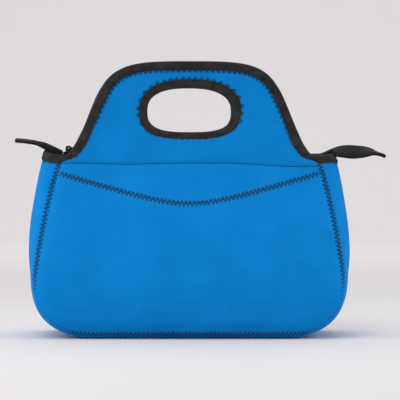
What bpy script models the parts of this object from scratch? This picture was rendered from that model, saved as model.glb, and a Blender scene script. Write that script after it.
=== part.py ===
"""Neoprene lunch tote, modelled at rest with its zip closed and its handles upright.

+Z is up, +X is to the right and the pocket faces -Y. The origin is the middle of the flat
underside. Lengths at the top are in millimetres, and MM turns them into Blender's metres.

The bag is sewn from sheets of neoprene: two panels that run up into the handles, two side
gussets, a bottom panel and a slip pocket of two pieces. Each panel is parted from its handle
along the fold line, so that the handle can fold outwards there.
"""

import math

import bmesh
import bpy
import numpy as np
from mathutils import Matrix, Vector

MM = 0.001

# Sheets and the clear gap between neighbouring pieces
CLOTH = 3.5
GAP = 0.4

# Seam outline of a panel, seen from the front
SEAM_BOTTOM_Z = 4.0
CORNER_X = 107.5
CORNER_RADIUS = 48.0
CORNER_POWER = 2.3
MOUTH_HALF_WIDTH = 132.0
FOLD_Z = 178.0
SIDE_HANDLES = ((152.5, 88.0), (142.0, 152.0))

# Depth of the bag
BOTTOM_HALF_DEPTH = 68.0
NECK_HALF_DEPTH = 17.0
PANEL_BULGE = 9.0
GUSSET_BULGE_BOTTOM = 4.0
GUSSET_BULGE_SIDE = 14.0
GUSSET_BULGE_NECK = 2.2
GUSSET_TIP_RISE = 3.0
GUSSET_UPRIGHT_Z = 176.5

# Pocket: its clearance over the panel, its mouth and the curved seam between its two pieces
POCKET_GAP = 1.0
POCKET_MOUTH_Z = 176.6
POCKET_SEAM_LOW_Z = 134.8
POCKET_SEAM_SLOPE = 0.31
POCKET_SEAM_ROUND = 12.0

# Handle: outer edge of the binding from the seam corner to the middle of the top
ARCH = (
    (132.0, 185.0), (124.0, 187.8), (117.0, 197.0), (110.0, 213.0), (101.0, 236.0),
    (93.0, 253.5), (78.0, 270.6), (50.0, 279.7), (0.0, 281.0),
)
GRIP_CENTRE_Z = 231.0
GRIP_HALF_WIDTH = 43.8
GRIP_HALF_HEIGHT = 22.8
GRIP_POWER = 2.4
HANDLE_TOP_DEPTH = 5.5
HANDLE_LEAN_HEIGHT = 72.0
ARCH_COLUMNS = 46
LOOP_COLUMNS = 64

# Binding: a folded strip over each raw edge
BINDING_THICKNESS = 6.0
BINDING_WIDTH = 7.8
BINDING_SKIN = 0.8

# Zip
TAPE_THICKNESS = 0.8
TAPE_Z = 183.6
TAPE_FLAT_HALF = 6.8
TAPE_HALF_LENGTH = 112.0
COIL_INNER = 0.9
COIL_OUTER = 2.7
COIL_HEIGHT = 1.9
SLIDER_X = 124.0
SLIDER_LENGTH = 13.0
SLIDER_HALF_WIDTH = 5.2
SLIDER_PLATE = 1.1
PULL_LENGTH = 22.0
TAPE_JOIN_X = 134.0
ZIP_END_X = 150.0
LEFT_END_RISE = 11.6
RIGHT_END_RISE = 7.2
LEFT_TAIL_LENGTH = 30.0
RIGHT_TAIL_LENGTH = 51.0
TAIL_HALF_WIDTH = 12.0
TAIL_THICKNESS = 3.4


# Geometry of the bag's shell -------------------------------------------------------------


def smoothstep(low, high, value):
    """0 below low, 1 above high, and a smooth rise between."""
    t = min(max((value - low) / (high - low), 0.0), 1.0)
    return t * t * (3 - 2 * t)


def seam_outline():
    """Points (x, z) of the right half of a panel's seam, from the bottom corner to the mouth."""
    centre_z = SEAM_BOTTOM_Z + CORNER_RADIUS
    points = []
    for angle in np.linspace(math.pi / 2, 0.0, 40):
        across = abs(math.cos(angle)) ** (2 / CORNER_POWER)
        down = abs(math.sin(angle)) ** (2 / CORNER_POWER)
        points.append((CORNER_X + CORNER_RADIUS * across, centre_z - CORNER_RADIUS * down))
    start, end = np.array(points[-1]), np.array((MOUTH_HALF_WIDTH, FOLD_Z))
    first, second = np.array(SIDE_HANDLES[0]), np.array(SIDE_HANDLES[1])
    for t in np.linspace(0.0, 1.0, 40)[1:]:
        points.append(
            (1 - t) ** 3 * start + 3 * t * (1 - t) ** 2 * first
            + 3 * t * t * (1 - t) * second + t**3 * end
        )
    return np.array([tuple(p) for p in points])


def lengths_along(points):
    """Distance from the first point to each point of a path."""
    return np.concatenate([[0.0], np.cumsum(np.linalg.norm(np.diff(points, axis=0), axis=1))])


SEAM = seam_outline()
SEAM_LENGTHS = lengths_along(SEAM)


def seam_point(share):
    """(x, z) at a share of the seam's length, from the bottom corner to the mouth."""
    at = share * SEAM_LENGTHS[-1]
    return (
        float(np.interp(at, SEAM_LENGTHS, SEAM[:, 0])),
        float(np.interp(at, SEAM_LENGTHS, SEAM[:, 1])),
    )


def seam_normal(share):
    """Unit vector (x, z) that points out of the bag in the plane of the seam."""
    x0, z0 = seam_point(max(share - 0.01, 0.0))
    x1, z1 = seam_point(min(share + 0.01, 1.0))
    length = math.hypot(x1 - x0, z1 - z0)
    return (z1 - z0) / length, -(x1 - x0) / length


def half_width(z):
    """Half the distance between a panel's side seams at height z."""
    return float(np.interp(z, SEAM[:, 1], SEAM[:, 0]))


def seam_depth(z):
    """Distance of the side seams from the bag's middle plane at height z."""
    t = min(max((z - SEAM_BOTTOM_Z) / (FOLD_Z - SEAM_BOTTOM_Z), 0.0), 1.0)
    fall = 0.5 * t**2 + 0.5 * (3 * t**2 - 2 * t**3)
    return NECK_HALF_DEPTH + (BOTTOM_HALF_DEPTH - NECK_HALF_DEPTH) * (1 - fall)


def panel_depth(x, z):
    """Distance of a panel's outer face from the bag's middle plane."""
    t = min(max((z - SEAM_BOTTOM_Z) / (FOLD_Z - SEAM_BOTTOM_Z), 0.0), 1.0)
    side = min(abs(x) / half_width(z), 1.0)
    return seam_depth(z) + PANEL_BULGE * math.sin(math.pi * t**0.8) * (1 - side**2.5)


def handle_depth(z):
    """Distance of a handle's middle layer from the bag's middle plane."""
    at_fold = NECK_HALF_DEPTH - CLOTH / 2
    left = max(1 - (z - FOLD_Z) / HANDLE_LEAN_HEIGHT, 0.0)
    return HANDLE_TOP_DEPTH + (at_fold - HANDLE_TOP_DEPTH) * left**2


def gusset_bulge(z):
    """How far the gusset's middle stands out from the seams at height z."""
    side = GUSSET_BULGE_SIDE * smoothstep(0.0, 125.0, z)
    neck = GUSSET_BULGE_NECK * max((z - 105.0) / (FOLD_Z - 105.0), 0.0) ** 2
    return GUSSET_BULGE_BOTTOM + side + min(neck, GUSSET_BULGE_NECK)


def pocket_seam_z(x):
    """Height of the curved seam across the pocket."""
    return POCKET_SEAM_LOW_Z + math.hypot(POCKET_SEAM_SLOPE * x, POCKET_SEAM_ROUND) - POCKET_SEAM_ROUND


def smooth_path(points, per_span=10):
    """A Catmull-Rom curve through the points."""
    ends = [2 * points[0] - points[1], *points, 2 * points[-1] - points[-2]]
    path = []
    for a, b, c, d in zip(ends, ends[1:], ends[2:], ends[3:]):
        for t in np.arange(per_span) / per_span:
            path.append(
                0.5 * (2 * b + (c - a) * t + (2 * a - 5 * b + 4 * c - d) * t**2
                       + (3 * b - a - 3 * c + d) * t**3)
            )
    return np.array([*path, points[-1]])


def arch_path():
    """Outer edge of the handle's binding, from the right seam corner over the top to the left."""
    right = [np.array(p) for p in ARCH]
    left = [np.array((-x, z)) for x, z in reversed(ARCH[:-1])]
    return smooth_path(right + left)


ARCH_PATH = arch_path()
ARCH_LENGTHS = lengths_along(ARCH_PATH)


def arch_edge(share, inset=0.0):
    """(x, z) on the arch at a share of its length, moved inwards by inset."""
    at = share * ARCH_LENGTHS[-1]
    step = 1.5
    point, before, after = (
        np.array([np.interp(min(max(a, 0.0), ARCH_LENGTHS[-1]), ARCH_LENGTHS, ARCH_PATH[:, k]) for k in (0, 1)])
        for a in (at, at - step, at + step)
    )
    along = (after - before) / np.linalg.norm(after - before)
    return point + inset * np.array((-along[1], along[0]))


def grip_edge(angle, outset=0.0):
    """(x, z) on the edge of the grip hole, moved outwards by outset."""
    c, s = math.cos(angle), math.sin(angle)
    power = 2 / GRIP_POWER
    x = math.copysign(abs(c) ** power, c) * (GRIP_HALF_WIDTH + outset)
    z = math.copysign(abs(s) ** power, s) * (GRIP_HALF_HEIGHT + outset)
    return np.array((x, GRIP_CENTRE_Z + z))


# Blender helpers ---------------------------------------------------------------------------


def clear_scene():
    for found in list(bpy.data.objects):
        bpy.data.objects.remove(found)


def collection(name):
    made = bpy.data.collections.new(name)
    bpy.context.scene.collection.children.link(made)
    return made


def material(name, colour, roughness, metallic=0.0):
    made = bpy.data.materials.new(name)
    made.use_nodes = True
    shader = made.node_tree.nodes["Principled BSDF"]
    shader.inputs["Base Color"].default_value = (*colour, 1.0)
    shader.inputs["Roughness"].default_value = roughness
    shader.inputs["Metallic"].default_value = metallic
    return made


def finish_mesh(name, bm, look, parent, sharp_angle=40.0):
    """Makes the object of a finished bmesh, shaded smooth below the sharp angle."""
    bmesh.ops.recalc_face_normals(bm, faces=bm.faces)
    mesh = bpy.data.meshes.new(name)
    bm.to_mesh(mesh)
    bm.free()
    mesh.shade_smooth()
    mesh.set_sharp_from_angle(angle=math.radians(sharp_angle))
    return link_mesh(name, mesh, look, parent)


def link_mesh(name, mesh, look, parent):
    mesh.materials.append(look)
    made = bpy.data.objects.new(name, mesh)
    BAG.objects.link(made)
    centre = parent.location.copy()
    mesh.transform(Matrix.Translation(-centre))
    made.parent = parent
    return made


def joint_frame(name, x, y, z):
    """An empty on a joint's axis, which carries the pieces that move with it."""
    made = bpy.data.objects.new(name, None)
    made.location = Vector((x, y, z)) * MM
    BAG.objects.link(made)
    return made


def grid(columns, rows, place, merge=False):
    """A bmesh grid whose corners are placed by place(u, v), with u in -1..1 and v in 0..1."""
    bm = bmesh.new()
    bmesh.ops.create_grid(bm, x_segments=columns, y_segments=rows, size=1.0)
    for vertex in bm.verts:
        u, v = vertex.co.x, (vertex.co.y + 1) / 2
        vertex.co = Vector(place(u, v)) * MM
    if merge:
        bmesh.ops.remove_doubles(bm, verts=bm.verts, dist=0.00001)
    return bm


def sheet(name, bm, thickness, look, parent, flip=False):
    """A sheet of cloth: the grid is its outer face, and Solidify gives its thickness."""
    if flip:
        bmesh.ops.reverse_faces(bm, faces=bm.faces)
    mesh = bpy.data.meshes.new(name)
    bm.to_mesh(mesh)
    bm.free()
    mesh.shade_smooth()
    mesh.set_sharp_from_angle(angle=math.radians(50))
    made = link_mesh(name, mesh, look, parent)
    thick = made.modifiers.new("thickness", "SOLIDIFY")
    thick.thickness = thickness * MM
    thick.offset = -1.0
    return made


def loft(name, profile, stations, place, look, parent, closed=False):
    """A closed profile carried along a path: place(point, share) puts each of its points."""
    count = len(profile)

    def put(u, v):
        index = round((u + 1) / 2 * count) % count
        return place(profile[index], v)

    bm = grid(count, stations, put, merge=True)
    if not closed:
        bmesh.ops.holes_fill(bm, edges=[e for e in bm.edges if e.is_boundary], sides=0)
    return finish_mesh(name, bm, look, parent)


def block(name, low, high, look, parent, edge=0.3):
    """A box between two corners, with bevelled edges."""
    bm = bmesh.new()
    bmesh.ops.create_cube(bm, size=1.0)
    low, high = Vector(low), Vector(high)
    for vertex in bm.verts:
        vertex.co = Vector((low[i] + (vertex.co[i] + 0.5) * (high[i] - low[i]) for i in range(3))) * MM
    bmesh.ops.bevel(bm, geom=bm.edges, offset=edge * MM, segments=1, affect="EDGES")
    return finish_mesh(name, bm, look, parent, sharp_angle=30.0)


def unite(target, *others):
    """Joins solids that overlap into one body."""
    for other in others:
        join = target.modifiers.new("join", "BOOLEAN")
        join.operation = "UNION"
        join.object = other
        other.hide_render = True
        other.display_type = "WIRE"
        BAG.objects.unlink(other)
        HELPERS.objects.link(other)


# Panels, gussets and pocket ------------------------------------------------------------------


def panel(name, side, look, parent):
    """Front (side -1) or back (side +1) panel, from the bottom seam to the fold line."""

    def place(u, v):
        x, z = seam_point(v)
        z = min(z, FOLD_Z - GAP / 2)
        return u * x, side * panel_depth(u * x, z), z

    return sheet(name, grid(12, 18, place), CLOTH, look, parent, flip=side > 0)


def pocket_top_share():
    """Share of the seam's length at which the pocket's curved seam meets the side seam."""
    target = pocket_seam_z(half_width(168.0))
    return float(np.interp(target, SEAM[:, 1], SEAM_LENGTHS)) / SEAM_LENGTHS[-1]


def pocket_face(x, z):
    """y of the pocket's outer face, over the front panel."""
    return -(panel_depth(x, z) + POCKET_GAP + CLOTH)


def pocket_panel(look, parent):
    """Lower piece of the pocket, up to the curved seam."""
    top_share = pocket_top_share()
    top_x, top_z = seam_point(top_share)

    def place(u, v):
        x, z = seam_point(v * top_share)
        drop = top_z - pocket_seam_z(u * top_x)
        z = z - drop * v**2 - GAP / 2 * v
        return u * x, pocket_face(u * x, z), z

    return sheet("pocket_panel", grid(12, 15, place), CLOTH, look, parent)


def pocket_band(look, parent):
    """Upper piece of the pocket, from the curved seam to the pocket's mouth."""

    def place(u, v):
        top_x, top_z = seam_point(pocket_top_share())
        low = pocket_seam_z(u * top_x) + GAP / 2
        z = low + v * (POCKET_MOUTH_Z - low)
        side_z = top_z + v * (POCKET_MOUTH_Z - top_z)
        x = u * half_width(side_z)
        return x, pocket_face(x, z), z

    return sheet("pocket_band", grid(12, 4, place), CLOTH, look, parent)


def gusset_half_depth(z):
    """Half the gusset's width in y: it ends behind the panels' inner faces."""
    return seam_depth(z) - CLOTH - GAP


def gusset_point(side, t, share):
    """Outer face of a side gusset. t runs from -1 at the front seam to 1 at the back."""
    x, z = seam_point(share)
    nx, nz = seam_normal(share)
    upright = smoothstep(140.0, GUSSET_UPRIGHT_Z, z)
    roundness = 1.0 - 0.4 * smoothstep(105.0, GUSSET_UPRIGHT_Z, z)
    out = gusset_bulge(z) * max(1 - t * t, 0.0) ** roundness
    return (
        side * (x + (nx + (1 - nx) * upright) * out),
        t * gusset_half_depth(z),
        z + nz * (1 - upright) * out,
    )


def gusset_upright_share():
    """Share of the seam's length above which the gusset stands upright, inside its binding."""
    return float(np.interp(GUSSET_UPRIGHT_Z, SEAM[:, 1], SEAM_LENGTHS)) / SEAM_LENGTHS[-1]


def gusset_top(t):
    """Height of the binding's upper edge over a side gusset."""
    return ARCH[0][1] + GUSSET_TIP_RISE * (1 - t * t)


def gusset(name, side, look, parent):
    """Side gusset, from the bottom panel round the corner and up to its bound edge."""
    cloth_top = BINDING_SKIN + GAP
    first, last = GAP / SEAM_LENGTHS[-1], gusset_upright_share()

    def place(u, v):
        x, y, z = gusset_point(side, u, first + min(v / 0.95, 1.0) * (last - first))
        if v > 0.95:
            z += (v - 0.95) / 0.05 * (gusset_top(u) - cloth_top - z)
        return x, y, z

    return sheet(name, grid(16, 20, place), CLOTH, look, parent, flip=side < 0)


def bottom_panel(look, parent):
    """Bottom panel: flat underneath, and curved up to its seams at the front and back."""
    depth = gusset_half_depth(SEAM_BOTTOM_Z)
    rows = (-1.0, -0.95, -0.88, -0.8, 0.8, 0.88, 0.95, 1.0)

    def place(u, v):
        t = rows[round(v * (len(rows) - 1))]
        past_flat = max(abs(t) - 0.8, 0.0) / 0.2
        return u * (CORNER_X - GAP / 2), t * depth, SEAM_BOTTOM_Z * past_flat**1.6

    return sheet("bottom_panel", grid(4, len(rows) - 1, place), CLOTH, look, parent, flip=True)


# Handles and bindings ------------------------------------------------------------------------


def handle_loop(column):
    """Edge of the handle's cloth: over the arch, down to the fold line and back along it."""
    corner = MOUTH_HALF_WIDTH
    if column in (0, LOOP_COLUMNS) or column <= ARCH_COLUMNS:
        x, z = arch_edge(column % LOOP_COLUMNS / ARCH_COLUMNS, BINDING_SKIN + GAP)
        return np.array((min(max(x, -corner), corner), z))
    share = (column - ARCH_COLUMNS - 1) / (LOOP_COLUMNS - ARCH_COLUMNS - 2)
    return np.array((-corner + 2 * corner * share, FOLD_Z + GAP / 2))


def grip_loop(column):
    """Edge of the handle's cloth round the grip hole, in step with handle_loop."""
    low, high = math.radians(-62), math.radians(242)
    if column <= ARCH_COLUMNS:
        angle = low + (high - low) * column / ARCH_COLUMNS
    else:
        share = (column - ARCH_COLUMNS) / (LOOP_COLUMNS - ARCH_COLUMNS)
        angle = high + (low + 2 * math.pi - high) * share
    return grip_edge(angle, BINDING_SKIN + GAP)


def handle_panel(name, side, look, parent):
    """Front or back handle: a sheet with the grip hole in it."""

    def place(u, v):
        column = round((u + 1) / 2 * LOOP_COLUMNS)
        x, z = grip_loop(column) * (1 - v) + handle_loop(column) * v
        return x, side * (handle_depth(z) + CLOTH / 2), z

    bm = grid(LOOP_COLUMNS, 4, place, merge=True)
    return sheet(name, bm, CLOTH, look, parent, flip=side < 0)


def binding_profile():
    """Section of the folded strip: (distance in from the outer edge, offset across the cloth)."""
    outer, inner = BINDING_THICKNESS / 2, BINDING_THICKNESS / 2 - BINDING_SKIN
    corner = 1.2
    half = [(BINDING_WIDTH, outer), (corner, outer), (0.0, outer - corner)]
    back = [(BINDING_SKIN, inner), (BINDING_WIDTH, inner)]
    return half + [(n, -t) for n, t in reversed(half)] + [(n, -t) for n, t in reversed(back)] + back


def arch_binding(name, side, look, parent):
    """Binding of a handle's outer edge, from seam corner to seam corner."""

    def place(point, share):
        inset, across = point
        x, z = arch_edge(share, inset)
        x = min(max(x, -MOUTH_HALF_WIDTH), MOUTH_HALF_WIDTH)
        z = max(z, FOLD_Z + GAP / 2)
        return x, side * handle_depth(z) + across, z

    return loft(name, binding_profile(), 44, place, look, parent)


def grip_binding(name, side, look, parent):
    """Binding round a grip hole."""

    def place(point, share):
        inset, across = point
        x, z = grip_edge(2 * math.pi * share, inset)
        return x, side * handle_depth(z) + across, z

    return loft(name, binding_profile(), 36, place, look, parent, closed=True)


def gusset_binding(name, side, look, parent):
    """Binding of a side gusset's upper edge."""
    share_up = gusset_upright_share()

    def outline(t, inward):
        step = 0.02
        x0, y0, _ = gusset_point(1, max(t - step, -1.0), share_up)
        x1, y1, _ = gusset_point(1, min(t + step, 1.0), share_up)
        x, y, _ = gusset_point(1, t, share_up)
        along = math.hypot(x1 - x0, y1 - y0)
        x, y = x - inward * (y1 - y0) / along, y + inward * (x1 - x0) / along
        return x, y

    def place(point, share):
        inset, across = point
        t = (2 * share - 1) * 0.985
        x, y = outline(t, CLOTH / 2 - across)
        return side * x, y, gusset_top(t) - inset

    return loft(name, binding_profile(), 20, place, look, parent)


# Zip -----------------------------------------------------------------------------------------


def zip_tape(name, side, look, parent):
    """Half of the zip's tape: flat by the coil, then down to where it is sewn to the panel."""
    inner = NECK_HALF_DEPTH - CLOTH - GAP - TAPE_THICKNESS
    line = ((COIL_INNER, TAPE_Z), (TAPE_FLAT_HALF, TAPE_Z), (inner - 1.3, TAPE_Z - 6.5), (inner, FOLD_Z - 4.0))

    def place(u, v):
        y, z = line[round(v * (len(line) - 1))]
        return u * TAPE_HALF_LENGTH, side * y, z

    bm = grid(4, len(line) - 1, place)
    return sheet(name, bm, -TAPE_THICKNESS, look, parent, flip=side < 0)


def coil_block(name, x0, x1, side, look, parent, height=COIL_HEIGHT):
    """A length of one side's coil, on top of its tape."""
    low_z = TAPE_Z + TAPE_THICKNESS + GAP
    low_y, high_y = sorted((side * COIL_INNER, side * COIL_OUTER))
    return block(name, (x0, low_y, low_z), (x1, high_y, low_z + height), look, parent)


def zip_end_height(x):
    """Height of the tape's underside past the panels, where it climbs over the gusset's edge."""
    rise = LEFT_END_RISE if x < 0 else RIGHT_END_RISE
    return TAPE_Z + rise * smoothstep(134.0, 149.0, abs(x))


def zip_end(name, side, look, parent):
    """The tape's end: two halves beside the panels, joined into one where it leaves the bag."""
    across = (-TAPE_FLAT_HALF, -COIL_INNER, COIL_INNER, TAPE_FLAT_HALF)
    start = TAPE_HALF_LENGTH + GAP

    def place(u, v):
        x = start + v * (ZIP_END_X - start)
        return side * x, across[round((u + 1) / 2 * 3)], zip_end_height(side * x)

    bm = grid(3, 12, place)
    slit = [
        face for face in bm.faces
        if abs(face.calc_center_median().y) < 0.1 * MM
        and abs(face.calc_center_median().x) < TAPE_JOIN_X * MM
    ]
    bmesh.ops.delete(bm, geom=slit, context="FACES")
    return sheet(name, bm, -TAPE_THICKNESS, look, parent, flip=side > 0)


def left_tail_line(share):
    """(x, z, twist) of the left tail's middle: it lies flat and rises outwards."""
    z = TAPE_Z + LEFT_END_RISE + 1.0 + 5.0 * share
    return -(ZIP_END_X + GAP) - LEFT_TAIL_LENGTH * share, z, 0.0


def right_tail_line(share):
    """(x, z, twist) of the right tail's middle: it twists to show its face, then droops."""
    z = TAPE_Z + RIGHT_END_RISE + 1.0 - 3.2 * smoothstep(0.0, 0.4, share) - 4.0 * smoothstep(0.65, 1.05, share)
    twist = math.radians(26) * math.sin(math.pi * min(share / 0.85, 1.0)) ** 2
    return ZIP_END_X + GAP + RIGHT_TAIL_LENGTH * share, z, twist


def zip_tail(name, line, look, parent):
    """Fabric tab over the end of the tape, rounded at its tip."""
    edge = 0.9
    half, thick = TAIL_HALF_WIDTH, TAIL_THICKNESS / 2
    profile = [
        (-half, -thick + edge), (-half + edge, -thick), (half - edge, -thick), (half, -thick + edge),
        (half, thick - edge), (half - edge, thick), (-half + edge, thick), (-half, thick - edge),
    ]

    def place(point, share):
        x, z, twist = line(share)
        narrow = 1.0 - 0.35 * smoothstep(0.75, 1.0, share) ** 2 - 0.3 * (1 - smoothstep(0.0, 0.25, share))
        across, up = point[0] * narrow, point[1]
        return x, across * math.cos(twist) - up * math.sin(twist), z + across * math.sin(twist) + up * math.cos(twist)

    return loft(name, profile, 10, place, look, parent)


def slider(look, parent):
    """Slider body: two plates, the wedge between them and the bail on top."""
    low_z = TAPE_Z - GAP - SLIDER_PLATE
    top_z = TAPE_Z + TAPE_THICKNESS + GAP + COIL_HEIGHT + GAP
    x0, x1 = -SLIDER_X - SLIDER_LENGTH / 2, -SLIDER_X + SLIDER_LENGTH / 2
    half = SLIDER_HALF_WIDTH
    lower = block("zip_slider", (x0, -half, low_z), (x1, half, low_z + SLIDER_PLATE), look, parent)
    upper = block("slider_top", (x0, -half, top_z), (x1, half, top_z + SLIDER_PLATE), look, parent)
    wedge = block(
        "slider_wedge", (x0 + 0.6, -0.5, low_z + 0.4), (x0 + 5.0, 0.5, top_z + 0.6), look, parent, edge=0.1
    )
    crown_z = top_z + SLIDER_PLATE
    feet = [
        block(f"bail_foot_{k}", (x, -1.3, crown_z - 0.5), (x + 1.4, 1.3, crown_z + 5.6), look, parent, edge=0.2)
        for k, x in enumerate((-SLIDER_X - 4.6, -SLIDER_X + 3.2))
    ]
    bridge = block(
        "bail_bridge", (-SLIDER_X - 4.6, -1.3, crown_z + 5.2), (-SLIDER_X + 4.6, 1.3, crown_z + 6.4), look, parent
    )
    unite(lower, wedge, upper, *feet, bridge)
    return lower


def pull(look, parent):
    """Pull tab, hooked under the bail by its crossbar and lying back along the zip."""
    bar_z = pull_axis_z()
    x = -SLIDER_X
    bar = block("zip_pull", (x - 0.7, -2.9, bar_z - 0.6), (x + 0.7, 2.9, bar_z + 0.6), look, parent, edge=0.2)
    arms = [
        block(
            f"pull_arm_{k}", (x - 0.7, y, bar_z - 0.6), (x + 8.0, y + 1.1, bar_z + 0.6), look, parent, edge=0.2
        )
        for k, y in enumerate((-2.9, 1.8))
    ]
    tab = block(
        "pull_tab", (x + 6.2, -3.4, bar_z - 0.8), (x + PULL_LENGTH, 3.4, bar_z + 0.8), look, parent, edge=0.5
    )
    unite(bar, *arms, tab)
    return bar


def pull_axis_z():
    """Height of the pull's crossbar, between the slider's top and the bail."""
    return TAPE_Z + TAPE_THICKNESS + 2 * GAP + COIL_HEIGHT + SLIDER_PLATE + 4.0


def coil_ends(look, parent):
    """The short lengths of coil past the panels, with the stops at their ends."""
    start, end = TAPE_HALF_LENGTH + GAP, 130.8
    stop = end + 3.0
    low_z = TAPE_Z + TAPE_THICKNESS + GAP
    for label, side in (("front", -1), ("back", 1)):
        bead = coil_block(f"zip_top_stop_{label}", -end - 0.5, -start, side, look, parent)
        low_y, high_y = sorted((side * 0.5, side * 3.3))
        cap = block(
            f"top_stop_cap_{label}", (-stop, low_y, low_z), (-end, high_y, low_z + 2.3), look, parent
        )
        unite(bead, cap)
    beads = [coil_block(f"zip_bottom_stop_{k}", start, end + 0.5, s, look, parent) for k, s in enumerate((-1, 1))]
    box = block("zip_bottom_stop", (end, -3.6, low_z), (stop, 3.6, low_z + 2.3), look, parent)
    unite(box, *beads)


# The bag ---------------------------------------------------------------------------------------


def build():
    neoprene = material("blue_neoprene", (0.004, 0.19, 0.54), 0.85)
    binding = material("black_binding", (0.03, 0.03, 0.03), 0.8)
    tape = material("black_tape", (0.02, 0.02, 0.02), 0.9)
    coil = material("black_nylon", (0.015, 0.015, 0.015), 0.4)
    metal = material("black_metal", (0.02, 0.02, 0.02), 0.35, 0.6)

    base = joint_frame("base", 0, 0, 0)
    bottom_panel(neoprene, base)
    for label, side in (("left", -1), ("right", 1)):
        gusset(f"{label}_gusset", side, neoprene, base)
        gusset_binding(f"{label}_gusset_binding", side, binding, base)
        zip_end(f"{label}_zip_end", side, tape, base)
    coil_ends(coil, base)

    hinge_y = BOTTOM_HALF_DEPTH - CLOTH
    fold_y = NECK_HALF_DEPTH
    for label, side in (("front", -1), ("back", 1)):
        wall = joint_frame(f"{label}_wall", 0, side * hinge_y, SEAM_BOTTOM_Z)
        panel(f"{label}_panel", side, neoprene, wall)
        zip_tape(f"{label}_zip_tape", side, tape, wall)
        coil_block(f"{label}_zip_coil", -TAPE_HALF_LENGTH, TAPE_HALF_LENGTH, side, coil, wall)
        if side < 0:
            pocket_panel(neoprene, wall)
            pocket_band(neoprene, wall)
        handle = joint_frame(f"{label}_handle", 0, side * fold_y, FOLD_Z)
        handle_panel(f"{label}_handle_panel", side, neoprene, handle)
        arch_binding(f"{label}_handle_binding", side, binding, handle)
        grip_binding(f"{label}_grip_binding", side, binding, handle)

    slider(metal, joint_frame("slider", -SLIDER_X, 0, TAPE_Z))
    pull(metal, joint_frame("pull", -SLIDER_X, 0, pull_axis_z()))
    for label, side, line in (("left", -1, left_tail_line), ("right", 1, right_tail_line)):
        root_x = side * ZIP_END_X
        root = joint_frame(f"{label}_tail", root_x, 0, zip_end_height(root_x) + TAPE_THICKNESS / 2)
        zip_tail(f"{label}_zip_tail", line, binding, root)


clear_scene()
BAG = collection("lunch_bag")
HELPERS = collection("joined_shapes")
build()
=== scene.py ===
"""Looks of a neoprene lunch tote: its cloth, bindings, threads, zip, tails and studio.

Lengths are in millimetres until a mesh is made. +Z is up, the pocket faces -Y, and the middle of
the flat underside is the origin. "Share" runs from 0 to 1 along a path.
"""

from __future__ import annotations

import logging
import math
from dataclasses import dataclass, field
from enum import Enum
from functools import cached_property
from typing import Callable, Sequence

import bmesh
import bpy
import numpy as np
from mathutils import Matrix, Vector, kdtree, noise
from mathutils.geometry import delaunay_2d_cdt

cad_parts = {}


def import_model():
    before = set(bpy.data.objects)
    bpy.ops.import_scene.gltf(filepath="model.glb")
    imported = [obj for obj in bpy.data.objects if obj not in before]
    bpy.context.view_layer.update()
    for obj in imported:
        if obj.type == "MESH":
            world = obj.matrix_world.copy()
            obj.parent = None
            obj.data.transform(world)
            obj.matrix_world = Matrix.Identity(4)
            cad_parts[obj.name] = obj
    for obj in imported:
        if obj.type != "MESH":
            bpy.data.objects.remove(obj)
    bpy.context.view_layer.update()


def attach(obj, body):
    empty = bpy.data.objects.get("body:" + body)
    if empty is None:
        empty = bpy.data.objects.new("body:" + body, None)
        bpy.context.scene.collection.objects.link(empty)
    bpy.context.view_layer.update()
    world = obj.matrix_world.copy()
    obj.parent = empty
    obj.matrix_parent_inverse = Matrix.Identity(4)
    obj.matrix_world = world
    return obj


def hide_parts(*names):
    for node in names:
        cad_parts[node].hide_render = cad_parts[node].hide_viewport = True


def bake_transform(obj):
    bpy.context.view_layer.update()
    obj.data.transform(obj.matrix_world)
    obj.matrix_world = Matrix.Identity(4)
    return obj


MM = 0.001
LOG = logging.getLogger("lunch_tote")
Colour = tuple[float, float, float, float]


class Side(Enum):
    """Which face of the bag a piece belongs to; the value is the sign of y."""

    FRONT = -1
    BACK = 1

    @property
    def label(self) -> str:
        """Lower-case name used in the names of pieces and bodies."""
        return self.name.lower()


class Hand(Enum):
    """Left or right as seen from the front; the value is the sign of x."""

    LEFT = -1
    RIGHT = 1

    @property
    def label(self) -> str:
        """Lower-case name used in the names of pieces and bodies."""
        return self.name.lower()


# Small maths -----------------------------------------------------------------------------------


def ease(low: float, high: float, value: np.ndarray | float) -> np.ndarray:
    """Smooth rise from 0 below low to 1 above high."""
    t = np.clip((np.asarray(value, float) - low) / (high - low), 0.0, 1.0)
    return t * t * (3 - 2 * t)


def unit(vectors: np.ndarray) -> np.ndarray:
    """The vectors at length one."""
    return vectors / np.maximum(np.linalg.norm(vectors, axis=-1, keepdims=True), 1e-9)


def linear(red: int, green: int, blue: int) -> Colour:
    """Scene colour of an 8-bit screen colour."""
    shares = [channel / 255 for channel in (red, green, blue)]
    parts = [v / 12.92 if v <= 0.04045 else ((v + 0.055) / 1.055) ** 2.4 for v in shares]
    return parts[0], parts[1], parts[2], 1.0


def along_of(places: np.ndarray) -> np.ndarray:
    """Unit directions of travel through places."""
    return unit(np.gradient(places, axis=0))


def outward_of(along: np.ndarray, lateral: np.ndarray, guide: np.ndarray) -> np.ndarray:
    """Unit normals across two directions, turned towards the guide."""
    normal = unit(np.cross(along, lateral))
    return normal * np.sign(np.sum(normal * guide, axis=-1, keepdims=True) + 1e-9)


def loop_sides(loop: np.ndarray) -> np.ndarray:
    """Unit directions to the left of travel round a closed loop of flat points."""
    ahead = unit(np.roll(loop, -1, axis=0) - np.roll(loop, 1, axis=0))
    return np.stack([-ahead[:, 1], ahead[:, 0]], axis=-1)


def wander(points: np.ndarray, size: float, seed: float) -> np.ndarray:
    """Smooth random values from about -1 to 1 that change over a distance of size.

    Args:
        points: (N, 3) places.
        size: distance over which the values change.
        seed: shifts the pattern.

    Returns:
        One value for each point.
    """
    shift = Vector((seed * 17.3, seed * 5.1, seed * 9.7))
    return np.array([noise.noise(Vector(p) / size + shift) for p in points])


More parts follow.
